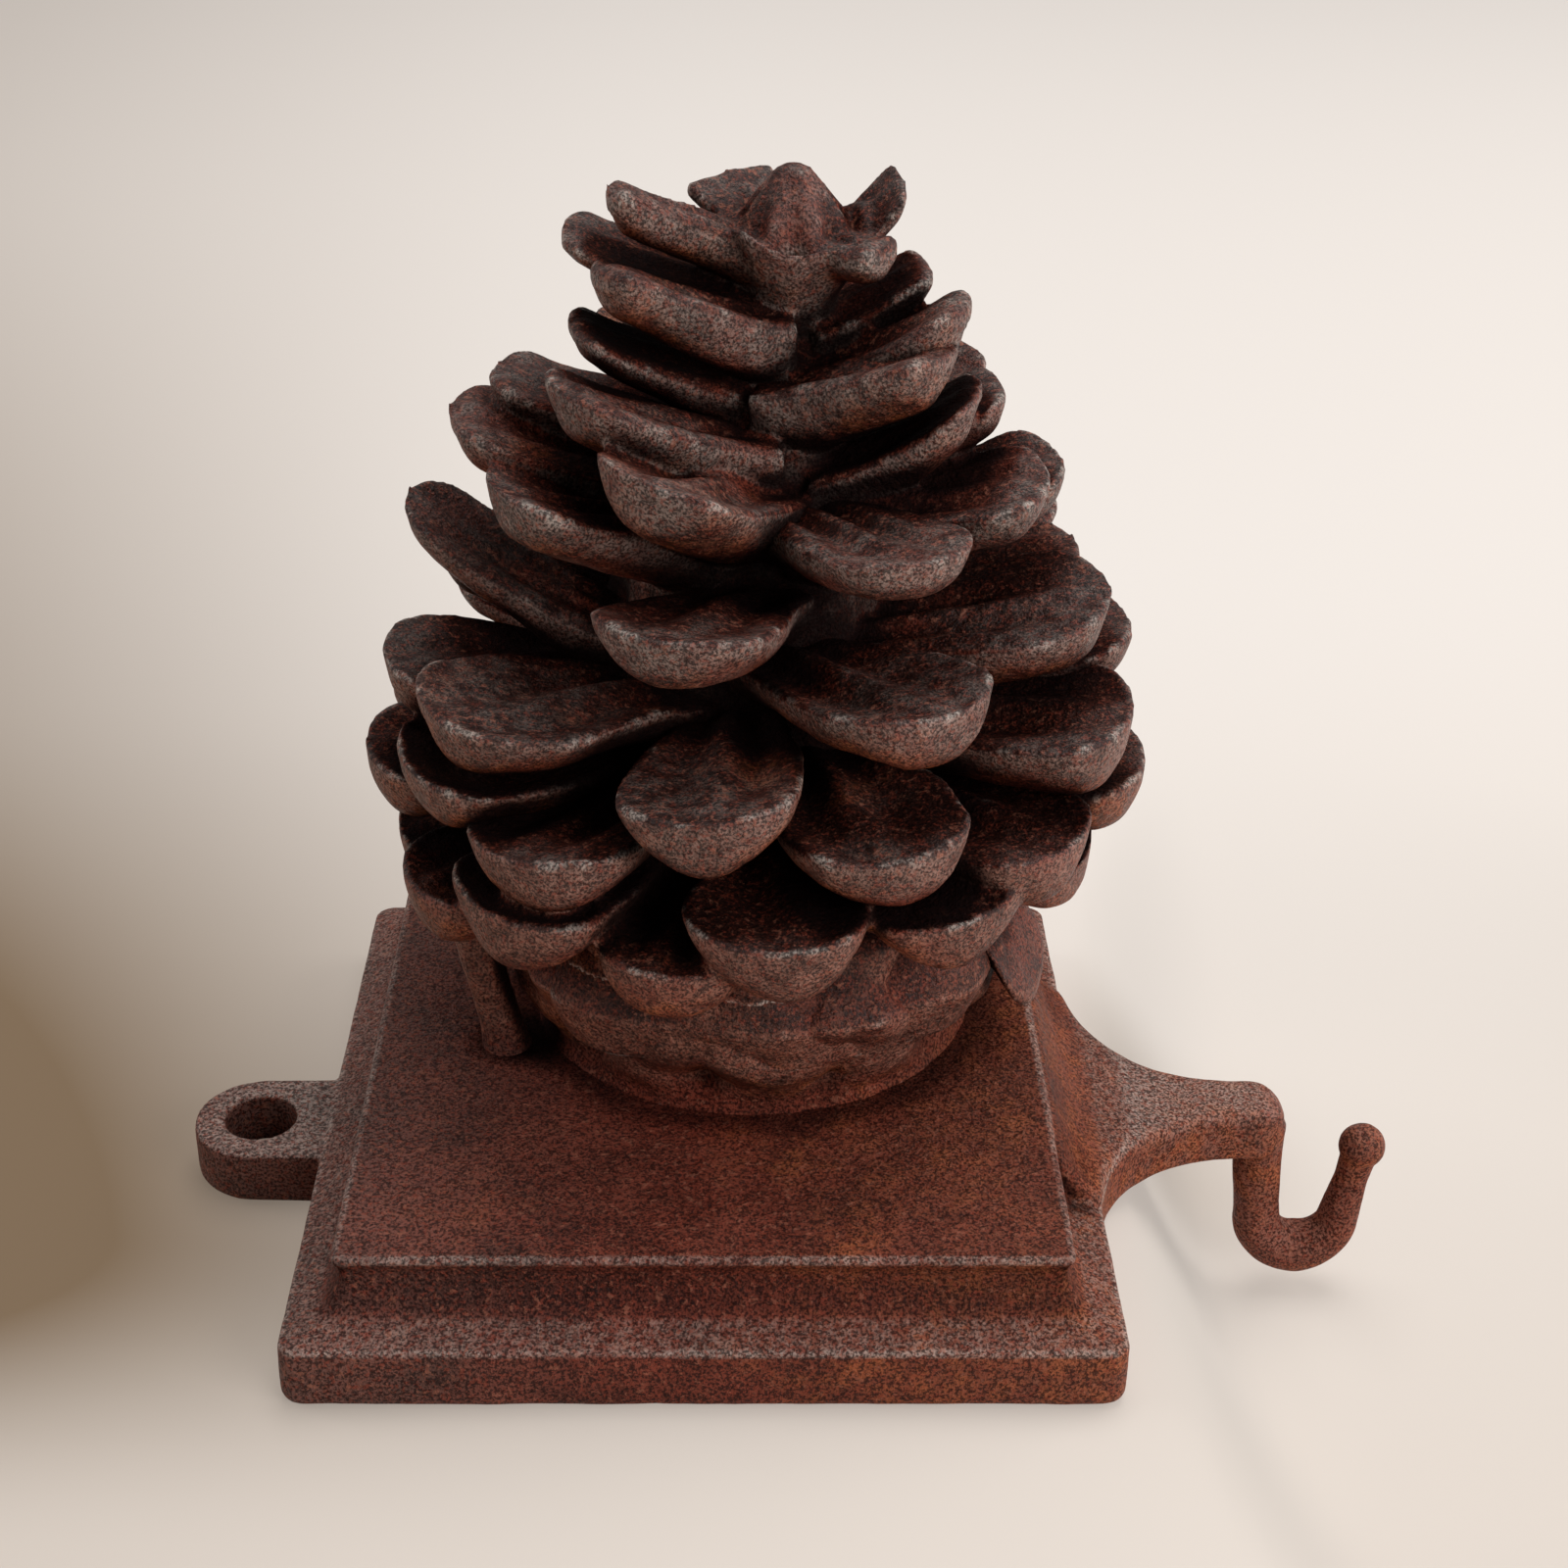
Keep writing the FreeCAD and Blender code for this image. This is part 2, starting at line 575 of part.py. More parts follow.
def belly_share(along, heel):
    """Depth of the belly along a scale, from the root's depth to the thick end."""
    if along < THICKEST:
        power = 1.5 if heel < 1 else 0.7
        return heel + (1 - heel) * (along / THICKEST) ** power
    closing = (along - THICKEST) / (1 - THICKEST)
    return math.sqrt(1 - 0.75 * closing ** 2)


def scale_shape(tier, scale):
    """Closed faceted solid of one scale, its stalk's end inside the stem."""
    name, stalk, heel, rows = tier
    tip_turn, root_turn, reach, level, width, thickness, slope, roll = scale
    width = size("scale_width") * width / 100
    thickness = size("scale_thickness") * thickness / 100
    reach = size("cone_radius") * reach / 100
    level = size("cone_height") * level / 100
    out = reach - stem_radius(level - thickness)
    root_level = level - out * math.tan(math.radians(slope))
    root_radius = max(stem_radius(root_level) - thickness / 3, SMALLEST_ROOT)
    tip_turn, root_turn, roll = (math.radians(angle) for angle in (tip_turn, root_turn, roll))
    tip = Vector(math.cos(tip_turn), math.sin(tip_turn), 0) * reach
    root = Vector(math.cos(root_turn), math.sin(root_turn), 0) * root_radius
    root.x += lean_at(root_level)
    run = tip - root
    length = run.Length
    run.normalize()
    across = Vector(-run.y, run.x, math.tan(roll)).normalize()
    upward = run.cross(across)
    bow = 1.3 if heel < 1 else 1.4
    base = Vector(size("cone_x"), size("cone_y"), size("plinth_height"))
    rings = []
    for along in STATIONS:
        rise = root_level + (level - root_level) * along ** bow
        centre = base + root + run * (length * along) + Vector(0, 0, rise)
        half = width / 2 * width_share(along, stalk)
        belly = thickness * belly_share(along, heel)
        droop = 0.12 * thickness * max(0.0, (along - 0.85) / 0.15) ** 2
        ring = []
        for sideways, depth, follows in SECTION:
            drop = depth * thickness - droop if follows == "top" else depth * belly
            ring.append(centre + across * (half * sideways) + upward * drop)
        rings.append(ring)
    nose = base + tip + Vector(0, 0, level) - upward * (0.42 * thickness)
    heart = sum(rings[0], Vector()) * (1 / len(SECTION))
    faces = []
    for index in range(len(SECTION)):
        following = (index + 1) % len(SECTION)
        faces.append(facet(rings[0][following], rings[0][index], heart))
        for near, far in zip(rings, rings[1:]):
            faces.append(facet(near[index], near[following], far[following]))
            faces.append(facet(near[index], far[following], far[index]))
        faces.append(facet(rings[-1][index], rings[-1][following], nose))
    return closed_solid(faces)


scales = []
for tier in TIERS:
    for count, scale in enumerate(tier[3], start=1):
        feature = doc.addObject("Part::Feature", "%sScale%d" % (tier[0], count))
        feature.Shape = scale_shape(tier, scale)
        if not feature.Shape.isValid():
            raise RuntimeError("%s isn't a closed solid" % feature.Name)
        scales.append(feature)

# The casting: everything above is one piece of iron
cone = doc.addObject("Part::MultiFuse", "Cone")
cone.Shapes = [stem, bud] + scales
cone.Refine = False
finished(cone)
casting = doc.addObject("Part::MultiFuse", "Casting")
casting.Shapes = [cone, plinth, ear, arm, hook, tip, strut]
casting.Label = "stocking_holder"
finished(casting)
if len(casting.Shape.Solids) != 1:
    raise RuntimeError("the casting came out in %d pieces" % len(casting.Shape.Solids))
casting.Shape.exportStep("parts/stocking_holder.step")
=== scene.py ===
"""Visual model of a cast-iron mantel stocking holder: a pine cone on a moulded plinth with a hook.

Lengths in the classes are millimetres in the frame of the solids; meshes are in metres.
"""
import logging
import math
from dataclasses import dataclass, field
from enum import Enum
from functools import partial, reduce
from typing import NamedTuple

import bpy
import numpy as np
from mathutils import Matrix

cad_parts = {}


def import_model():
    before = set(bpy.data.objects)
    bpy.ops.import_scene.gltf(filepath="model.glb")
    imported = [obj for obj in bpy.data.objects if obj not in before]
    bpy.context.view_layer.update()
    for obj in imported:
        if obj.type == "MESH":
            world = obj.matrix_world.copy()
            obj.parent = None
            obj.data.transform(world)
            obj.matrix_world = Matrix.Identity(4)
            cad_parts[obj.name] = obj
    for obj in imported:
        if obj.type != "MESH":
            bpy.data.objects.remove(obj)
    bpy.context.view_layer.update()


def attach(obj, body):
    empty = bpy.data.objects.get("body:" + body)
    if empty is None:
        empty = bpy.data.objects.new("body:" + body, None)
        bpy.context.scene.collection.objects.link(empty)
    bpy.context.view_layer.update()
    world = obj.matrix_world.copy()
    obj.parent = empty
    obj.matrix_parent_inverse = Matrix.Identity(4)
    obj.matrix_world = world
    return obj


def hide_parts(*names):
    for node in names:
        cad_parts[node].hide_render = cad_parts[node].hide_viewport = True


log = logging.getLogger("stocking_holder")

MM = 0.001
NODE = "stocking_holder"
BODY = "root"
TINY = 1e-6

Rows = tuple[tuple[float, ...], ...]
Range = tuple[float, float]
Colour = tuple[float, float, float, float]
Socket = bpy.types.NodeSocket

# form of a scale: depths in shares of its thickness, places in shares of its length or half width
RINGS, RING_POINTS, LAST_RING, CROWDING = 52, 64, 0.985, 1.8
PADDLE = (0.25, 0.60)
DISH_DEPTH = 0.13
LIP_HEIGHT, LIP_PLACE, LIP_WIDTH = 0.035, 0.90, 0.07
GROOVE_DEPTH, GROOVES_RISE, GROOVES_FADE = 0.10, (0.0, 0.2), (0.42, 0.92)
CREASE_DEPTH, CREASES = 0.030, 9
DROOP_FROM, DROOP_LENGTH, DROOP_DEPTH, DROOP_POWER = 0.84, 0.16, 0.05, 2.4
BELLY_POWER, BELLY_WAVE = 1.12, 0.05
TUCK = 0.06
WAVES, WAVE_DEPTHS = (7, 15), (0.030, 0.018)

# sideways sway and smallest root radius of a scale in millimetres, and its twist in degrees
SWAY, SMALLEST_ROOT, TWIST = 0.6, 0.8, 2.5


class Shell(NamedTuple):
    """Closed triangle surface: points in millimetres and the three corners of each triangle."""

    points: np.ndarray
    triangles: np.ndarray


class Heel(Enum):
    """How the belly of a scale runs back to the stem."""

    DEEP = 1.5
    FULL = 1.1
    SLIM = 0.7


def full_turn(count: int) -> np.ndarray:
    """Angles evenly round a circle, as one row."""
    return np.linspace(0, 2 * np.pi, count, endpoint=False)[None, :]


def refined(profile: Rows, count: int) -> list[np.ndarray]:
    """Columns of a profile read at even places along its rows, straight between them."""
    place = np.linspace(0, len(profile) - 1, count)
    return [np.interp(place, np.arange(len(profile)), column)[:, None] for column in zip(*profile)]


def turned(radius: np.ndarray, turn: np.ndarray, height: np.ndarray, shift: np.ndarray = 0.0) -> np.ndarray:
    """Points round an upright axis, shifted along X."""
    return np.stack(np.broadcast_arrays(radius * np.cos(turn) + shift, radius * np.sin(turn), height), -1)


def placed(name: str, data: bpy.types.ID) -> bpy.types.Object:
    """New object in the scene."""
    thing = bpy.data.objects.new(name, data)
    bpy.context.collection.objects.link(thing)
    return thing


def skinned(near: np.ndarray, far: np.ndarray) -> np.ndarray:
    """Two triangles for each step round two rows of rings that face each other."""
    near_next, far_next = (np.roll(row, -1, axis=1).ravel() for row in (near, far))
    near, far = near.ravel(), far.ravel()
    return np.concatenate([np.stack([near, near_next, far_next], 1), np.stack([near, far_next, far], 1)])


def closed_tube(rings: np.ndarray) -> Shell:
    """Skin a row of closed rings and cap both ends with a fan to the middle of the end ring.

    Args:
        rings: Points in the shape (rings, points of a ring, 3).

    Returns:
        The closed surface.
    """
    rows, count = rings.shape[:2]
    index = np.arange(rows * count).reshape(rows, count)
    after = np.roll(index, -1, axis=1)
    walls = skinned(index[:-1], index[1:])
    first = np.full(count, rows * count)
    caps = np.concatenate([
        np.stack([first, after[0], index[0]], 1),
        np.stack([first + 1, index[-1], after[-1]], 1),
    ])
    middles = np.stack([rings[0].mean(0), rings[-1].mean(0)])
    return Shell(np.concatenate([rings.reshape(-1, 3), middles]), np.concatenate([walls, caps]))


def closed_ring(rings: np.ndarray) -> Shell:
    """Skin rings that follow each other round a closed loop, as round a hole.

    Args:
        rings: Points in the shape (rings, points of a ring, 3).

    Returns:
        The closed surface.
    """
    rows, count = rings.shape[:2]
    index = np.arange(rows * count).reshape(rows, count)
    return Shell(rings.reshape(-1, 3), skinned(index, np.roll(index, -1, axis=0)))


def joined(shells: list[Shell]) -> Shell:
    """Put several shells in one list of points and triangles."""
    starts = np.cumsum([0] + [len(shell.points) for shell in shells[:-1]])
    return Shell(
        np.concatenate([shell.points for shell in shells]),
        np.concatenate([shell.triangles + start for shell, start in zip(shells, starts)]),
    )


def blended(field_values: np.ndarray, cells: np.ndarray) -> np.ndarray:
    """Read a cubic lattice between its points: the eight corners of a cell, weighed by a smooth fade.

    Args:
        field_values: Lattice values, repeated endlessly in each direction.
        cells: Places to read, in lattice steps, in the shape (count, 3).

    Returns:
        One value for each place.
    """
    low = np.floor(cells).astype(int)
    part = cells - low
    fade = part * part * (3.0 - 2.0 * part)
    total = np.zeros(len(cells))
    for corner in np.ndindex(2, 2, 2):
        pick = (low + corner) % field_values.shape
        weight = np.prod(np.where(corner, fade, 1.0 - fade), axis=1)
        total += field_values[pick[:, 0], pick[:, 1], pick[:, 2]] * weight
    return total


def rough_field(points: np.ndarray, size: float, seed: int) -> np.ndarray:
    """Random lumps about as wide as size, between -1 and 1, the same on every run."""
    lattice = np.random.default_rng(seed).uniform(-1.0, 1.0, (24, 24, 24))
    return blended(lattice, points / size + 50.0)


def eased(value: np.ndarray, low: float, high: float) -> np.ndarray:
    """Smooth step from 0 at low to 1 at high."""
    share = np.clip((value - low) / (high - low), 0.0, 1.0)
    return share * share * (3.0 - 2.0 * share)


@dataclass
class ConeStem:
    """Stem of the cone with the closed bowl at its foot and the cup below the bud.

    The stem is turned about the cone's axis: a radius for each height, read between the rows of
    the profile. Each row of the lobes is a count, a slant, a start and a depth as a share.
    """

    x: float = 7.0
    y: float = 16.0
    floor: float = 19.6
    profile: Rows = (
        (31.0, -3.0), (32.5, 2.0), (37.0, 10.0), (40.0, 18.0), (36.0, 27.0), (27.5, 40.0), (21.5, 62.0),
        (17.5, 78.0), (13.0, 93.0), (8.6, 103.0), (5.0, 107.5), (5.6, 111.0), (6.6, 115.0), (7.0, 119.0),
    )
    lobes: Rows = ((8, 0.05, 0.0, 0.035), (5, -0.11, 1.0, 0.025))
    lean: float = 4.2
    lean_heights: Range = (70.0, 116.0)
    bowl_heights: Range = (-1.5, 34.0)
    bowl_waves: float = 5.5
    bowl_slant: float = 0.085
    bowl_relief: float = 4.6
    bowl_lumps: float = 1.1
    bowl_flare: float = 1.8

    def radius(self, height: np.ndarray) -> np.ndarray:
        """Radius at a height above the flat top, straight between the profile's rows."""
        radii, heights = zip(*self.profile)
        return np.interp(height, heights, radii)

    def base(self) -> np.ndarray:
        """Foot of the cone's axis."""
        return np.array([self.x, self.y, self.floor])

    def shift(self, height: np.ndarray) -> np.ndarray:
        """How far the stem leans to the hook's side at a height: a smooth step near its top."""
        return self.lean * eased(height, *self.lean_heights)

    def shell(self, low: float, high: float) -> Shell:
        """Length of the stem between two heights.

        The radius is the profile's, and it swells and sinks a little round the axis.

        Args:
            low: Lowest height above the flat top.
            high: Highest height above the flat top.

        Returns:
            The closed surface.
        """
        height = np.linspace(low, high, 48)[:, None]
        turn = full_turn(96)
        swell = sum(depth * np.sin(count * turn + slant * height + start)
                    for count, slant, start, depth in self.lobes)
        radius = self.radius(height) * (1.0 + swell)
        return closed_tube(self.base() + turned(radius, turn, height, self.shift(height)))

    def bowl(self) -> Shell:
        """Closed bowl at the foot, with the low ridges of scales pressed flat against it.

        The radius is the profile's with a flared foot; two families of slanting ridges cross on it
        as the larger of two rounded waves.

        Returns:
            The closed surface.
        """
        height = np.linspace(*self.bowl_heights, 70)[:, None]
        turn = full_turn(240)
        slant = self.bowl_slant * height
        rising = np.abs(np.sin(self.bowl_waves * turn + slant)) ** 0.7
        falling = np.abs(np.sin(self.bowl_waves * turn - 1.3 * slant + 1)) ** 0.7
        waves = np.maximum(rising, falling)
        lumps = np.sin(3 * turn + 0.20 * height) * np.sin(0.31 * height + 2 * turn)
        relief = (self.bowl_relief * (waves - 0.85) + self.bowl_lumps * lumps) * eased(height, -2.0, 7.0)
        radius = self.radius(height) + relief + self.bowl_flare * np.exp(-np.maximum(height, 0) / 1.2)
        return closed_tube(self.base() + turned(radius, turn, height))


@dataclass
class PaddleScale:
    """One scale: a paddle on a narrower stalk, dished on top behind a thick worn rim.

    turn and root_turn are the azimuths of the tip and the root in degrees; reach and level place
    the tip's upper rim from the axis and above the flat top.
    """

    turn: float
    root_turn: float
    reach: float
    level: float
    width: float
    thick: float
    slope: float
    roll: float = 0.0
    bend: float = 0.0
    dish: float = 1.0
    square: float = 3.0


class Course(NamedTuple):
    """Centre line of a scale: its root, the height there, its length and its three directions."""

    root: np.ndarray
    root_level: float
    length: float
    run: np.ndarray
    across: np.ndarray
    upward: np.ndarray


def closing(along: np.ndarray, start: float) -> np.ndarray:
    """Share that grows straight from 0 at start to 1 at the end of a scale."""
    return np.clip((along - start) / (1 - start), 0, 1)


@dataclass
class ScaleTier:
    """Scales of one height of the cone, which share the form of their stalks."""

    stalk: float
    heel: Heel
    rows: Rows
    ridges: float = 1.05
    widest: float = 0.68
    blunt: float = 0.82
    dish: float = 0.55
    soft: float = 0.05

    def half_width(self, along: np.ndarray, square: float) -> np.ndarray:
        """Share of the half width along a scale: it swells by a cosine, then closes bluntly."""
        swell = 0.5 - 0.5 * np.cos(np.pi * np.minimum(along / self.widest, 1.0))
        end = closing(along, self.widest)
        return (self.stalk + (1 - self.stalk) * swell ** 1.2) * (1 - end ** square) ** 0.5

    def belly(self, along: np.ndarray) -> np.ndarray:
        """Share of the thickness along a scale, from the root's depth to the thick end."""
        heel = self.heel.value
        power = 1.5 if self.heel is Heel.SLIM else 0.7
        body = heel + (1 - heel) * np.minimum(along / self.blunt, 1.0) ** power
        return body * (1 - closing(along, self.blunt) ** 2.6) ** 0.5

    def course(self, scale: PaddleScale, stem: ConeStem) -> Course:
        """Centre line of a scale, from inside the stem's skin to the tip.

        Args:
            scale: The scale's sizes.
            stem: The stem that carries it.

        Returns:
            The line, with a direction across that takes up the scale's roll.
        """
        turn, root_turn = math.radians(scale.turn), math.radians(scale.root_turn)
        out = scale.reach - float(stem.radius(scale.level - scale.thick))
        root_level = scale.level - out * math.tan(math.radians(scale.slope))
        root_radius = max(float(stem.radius(root_level)) - scale.thick / 3, SMALLEST_ROOT)
        tip = np.array([math.cos(turn), math.sin(turn), 0]) * scale.reach
        root = np.array([math.cos(root_turn), math.sin(root_turn), 0]) * root_radius
        root[0] += float(stem.shift(np.array(root_level)))
        length = float(np.linalg.norm(tip - root))
        run = (tip - root) / length
        across = np.array([-run[1], run[0], math.tan(math.radians(scale.roll))])
        across /= np.linalg.norm(across)
        return Course(root, root_level, length, run, across, np.cross(run, across))

    def section(self, scale: PaddleScale, along: np.ndarray, angle: np.ndarray,
                rng: np.random.Generator) -> np.ndarray:
        """Height of the skin round each ring of a scale: a nearly flat top over a half-moon belly.

        The top is a shallow dish inside a crisp raised rim, with grooves along the stalk that fade
        out on the paddle and fine creases there, and it droops at the very tip.

        Args:
            scale: The scale's sizes.
            along: Shares of the length, one for each ring.
            angle: Angles round the section.
            rng: Source of its small irregularities.

        Returns:
            Heights in shares of the thickness, in the shape (rings, points of a ring).
        """
        sideways = np.cos(angle)
        upper = np.clip(np.sin(angle), 0, 1)
        lower = np.clip(-np.sin(angle), 0, 1)
        end = closing(along, self.widest) ** 4
        edge = np.sqrt(np.clip(sideways ** 2 * (1 - end) + end, 0, 1))
        paddle = eased(along, *PADDLE)
        dish = -DISH_DEPTH * scale.dish * self.dish * (1 - edge ** 3.5) * paddle
        lip = LIP_HEIGHT * np.exp(-((edge - LIP_PLACE) / LIP_WIDTH) ** 2) * paddle
        count = rng.integers(2, 4)
        shift = rng.uniform(-0.5, 0.5)
        grooves = np.cos(np.pi * count * sideways + shift * along * 3) * (1 - sideways ** 2)
        ridges = GROOVE_DEPTH * self.ridges * grooves * (1 - eased(along, *GROOVES_FADE))
        ridges = ridges * eased(along, *GROOVES_RISE)
        creases = CREASE_DEPTH * self.ridges * np.cos(CREASES * sideways + 4 * shift) * paddle
        creases = creases * (1 - edge ** 2)
        top = -self.soft * (1 - upper ** 0.5) + (lip + dish + ridges + creases) * upper ** 0.3
        bent = np.clip((along - DROOP_FROM) / DROOP_LENGTH, 0, 1)
        droop = (DROOP_DEPTH + 1.1 * self.soft) * bent ** DROOP_POWER
        wave = 1 + BELLY_WAVE * np.cos(3 * angle + shift * 6)
        under = -self.soft - (self.belly(along) - self.soft) * lower ** BELLY_POWER * wave
        return np.where(np.sin(angle) >= 0, top - droop, under)

    def scale_shell(self, scale: PaddleScale, stem: ConeStem, seed: int) -> Shell:
        """Closed surface of one scale.

        The section is carried from the root to the tip, scaled by the width and the depth at that
        place. The centre line bows up towards the tip, sways a little and the section twists.

        Args:
            scale: The scale's sizes.
            stem: The stem that carries it.
            seed: Number that sets its small irregularities.

        Returns:
            The closed surface.
        """
        rng = np.random.default_rng(seed)
        along = (1 - (1 - np.linspace(0, LAST_RING, RINGS)) ** CROWDING)[:, None]
        angle = full_turn(RING_POINTS)
        course = self.course(scale, stem)
        height = self.section(scale, along, angle, rng) * scale.thick
        wave = 1.0
        for count, depth in zip(WAVES, WAVE_DEPTHS):
            wave = wave + depth * np.sin(count * along + rng.uniform(0, 6))
        half = scale.width / 2 * self.half_width(along, scale.square) * wave
        drift = scale.bend * np.sin(np.pi * along) + SWAY * rng.normal() * np.sin(2 * np.pi * along)
        bow = 1.3 if self.heel is Heel.SLIM else 1.4
        rise = course.root_level + (scale.level - course.root_level) * along ** bow
        twist = math.radians(rng.normal() * TWIST) * along
        tuck = 1.0 - TUCK * np.clip(-np.sin(angle), 0, 1) * eased(along, 0.2, 0.9)
        side = half * np.cos(angle) * tuck
        across = side * np.cos(twist) - height * np.sin(twist) + drift
        upward = side * np.sin(twist) + height * np.cos(twist)
        centre = course.root + course.run * (course.length * along[..., None])
        centre = centre + np.array([0, 0, 1.0]) * rise[..., None]
        rings_of_points = centre + course.across * across[..., None] + course.upward * upward[..., None]
        return closed_tube(stem.base() + rings_of_points)

    def shells(self, stem: ConeStem, seed: int) -> list[Shell]:
        """All scales of the tier, from rows of numbers in the order of PaddleScale's fields."""
        return [self.scale_shell(PaddleScale(*row), stem, seed * 100 + place)
                for place, row in enumerate(self.rows)]


@dataclass
class Bud:
    """Ridged bud in the wavy cup at the top of the cone."""

    shift_x: float = 5.0
    profile: Rows = (
        (6.4, 115.0), (8.1, 119.0), (7.9, 121.0), (6.7, 123.4), (4.9, 125.8), (3.3, 127.8), (2.3, 129.3),
        (1.0, 130.0),
    )
    cup_profile: Rows = (
        (4.4, 106.0), (5.2, 109.0), (7.0, 113.0), (8.8, 116.5), (10.2, 119.5), (10.9, 121.4), (10.4, 121.9),
        (9.6, 121.0), (8.4, 119.0),
    )

    def ribbed(self, stem: ConeStem, profile: Rows, lobes: int, depth: float, rim: float) -> Shell:
        """Turn a profile about the bud's axis, with ribs down it and a rim that rises and falls.

        Args:
            stem: The stem below.
            profile: Rows of radius and height.
            lobes: How many ribs stand round it.
            depth: Depth of the ribs as a share of the radius.
            rim: How far the upper end rises and falls.

        Returns:
            The closed surface.
        """
        count = 40
        radius, height = refined(profile, count)
        turn = full_turn(80)
        ribs = 1 + depth * (np.abs(np.sin(lobes * turn / 2)) - 0.7)
        share = np.minimum(np.arange(count) / (count - 3), 1.0)[:, None]
        height = height + rim * share ** 2 * (np.sin(2 * turn + 0.6) + 0.5 * np.sin(5 * turn))
        return closed_tube(stem.base() + turned(radius * ribs, turn, height, self.shift_x))

    def shells(self, stem: ConeStem) -> list[Shell]:
        """The bud and its cup."""
        return [
            self.ribbed(stem, self.profile, lobes=8, depth=0.30, rim=0.0),
            self.ribbed(stem, self.cup_profile, lobes=5, depth=0.10, rim=1.8),
        ]


@dataclass
class Plinth:
    """Square moulded plinth, cored out from below.

    Rows of the profile are the distance in from the slab's side, the corner radius and the height.
    """

    half: float = 57.38
    profile: Rows = (
        (57.0, 0.3, 19.5), (30.0, 0.6, 19.55), (8.4, 1.0, 19.5), (7.6, 1.3, 19.4), (7.2, 1.4, 19.1),
        (7.2, 1.4, 18.7), (8.0, 1.5, 16.9), (7.9, 1.6, 14.8), (6.9, 1.8, 12.7), (5.6, 2.0, 11.2),
        (4.8, 2.2, 10.75), (4.3, 2.3, 10.6), (0.9, 2.7, 9.5), (0.35, 2.9, 9.3), (0.08, 3.0, 8.9),
        (0.0, 3.0, 6.0), (0.0, 3.0, 1.5), (0.30, 2.9, 0.5), (0.9, 2.6, 0.06), (5.0, 2.0, 0.05),
        (5.8, 2.0, 0.5), (6.8, 2.0, 6.0), (12.0, 2.0, 14.2), (57.0, 0.3, 14.5),
    )

    def shell(self) -> Shell:
        """Carry the profile round a square with rounded corners, from the top's middle to the core's.

        Returns:
            The closed surface.
        """
        inset, radius, height = refined(self.profile, 4 * len(self.profile))
        arc = np.linspace(0, np.pi / 2, 9)
        side = np.linspace(0, 1, 40, endpoint=False)[1:]
        flat = self.half - inset - radius
        parts = []
        for quarter in range(4):
            start = quarter * np.pi / 2
            spin = np.array([[math.cos(start), -math.sin(start)], [math.sin(start), math.cos(start)]])
            corner = np.stack([flat + radius * np.cos(arc), flat + radius * np.sin(arc)], -1)
            straight = flat - 2 * flat * side
            run = np.stack([straight, np.broadcast_to(flat + radius, straight.shape)], -1)
            parts.append(np.concatenate([corner, run], 1) @ spin.T)
        ring = np.concatenate(parts, 1)
        points = np.concatenate([ring, np.broadcast_to(height, ring.shape[:2])[..., None]], -1)
        return closed_tube(points)


@dataclass
class ScrewEar:
    """Flat ear with a round end and a screw hole."""

    x: float = -67.7
    y: float = -3.5
    half: float = 9.92
    hole: float = 5.35
    thick: float = 9.0
    soft: float = 0.5
    under: float = 1.8
    reach: float = 14.9

    def shell(self) -> Shell:
        """Carry a rounded box section round the hole, out to the ear's round end and straight sides.

        Returns:
            The closed surface.
        """
        turn = np.linspace(0, 2 * np.pi, 120, endpoint=False)
        far = np.minimum(self.half / np.maximum(np.abs(np.sin(turn)), TINY),
                         self.reach / np.maximum(np.cos(turn), TINY))
        outer = np.where(np.cos(turn) > 0, far, self.half)[:, None]
        corner = np.linspace(0, np.pi / 2, 5)
        cos, sin = np.cos(corner), np.sin(corner)
        soft, under, thick = self.soft, self.under, self.thick
        low = np.stack([under - under * sin, under - under * cos], 1)
        high = np.stack([soft - soft * sin, thick - soft + soft * cos], 1)
        side = np.concatenate([low, high[::-1]])
        inner_radius = np.broadcast_to(self.hole + side[:, 0], (len(turn), len(side)))
        outer_radius = outer - side[::-1, 0]
        radius = np.concatenate([inner_radius, outer_radius], 1)
        height = np.broadcast_to(np.concatenate([side[:, 1], side[::-1, 1]]), radius.shape)
        x = self.x + radius * np.cos(turn)[:, None]
        y = self.y + radius * np.sin(turn)[:, None]
        return closed_ring(np.stack([x, y, height], -1))


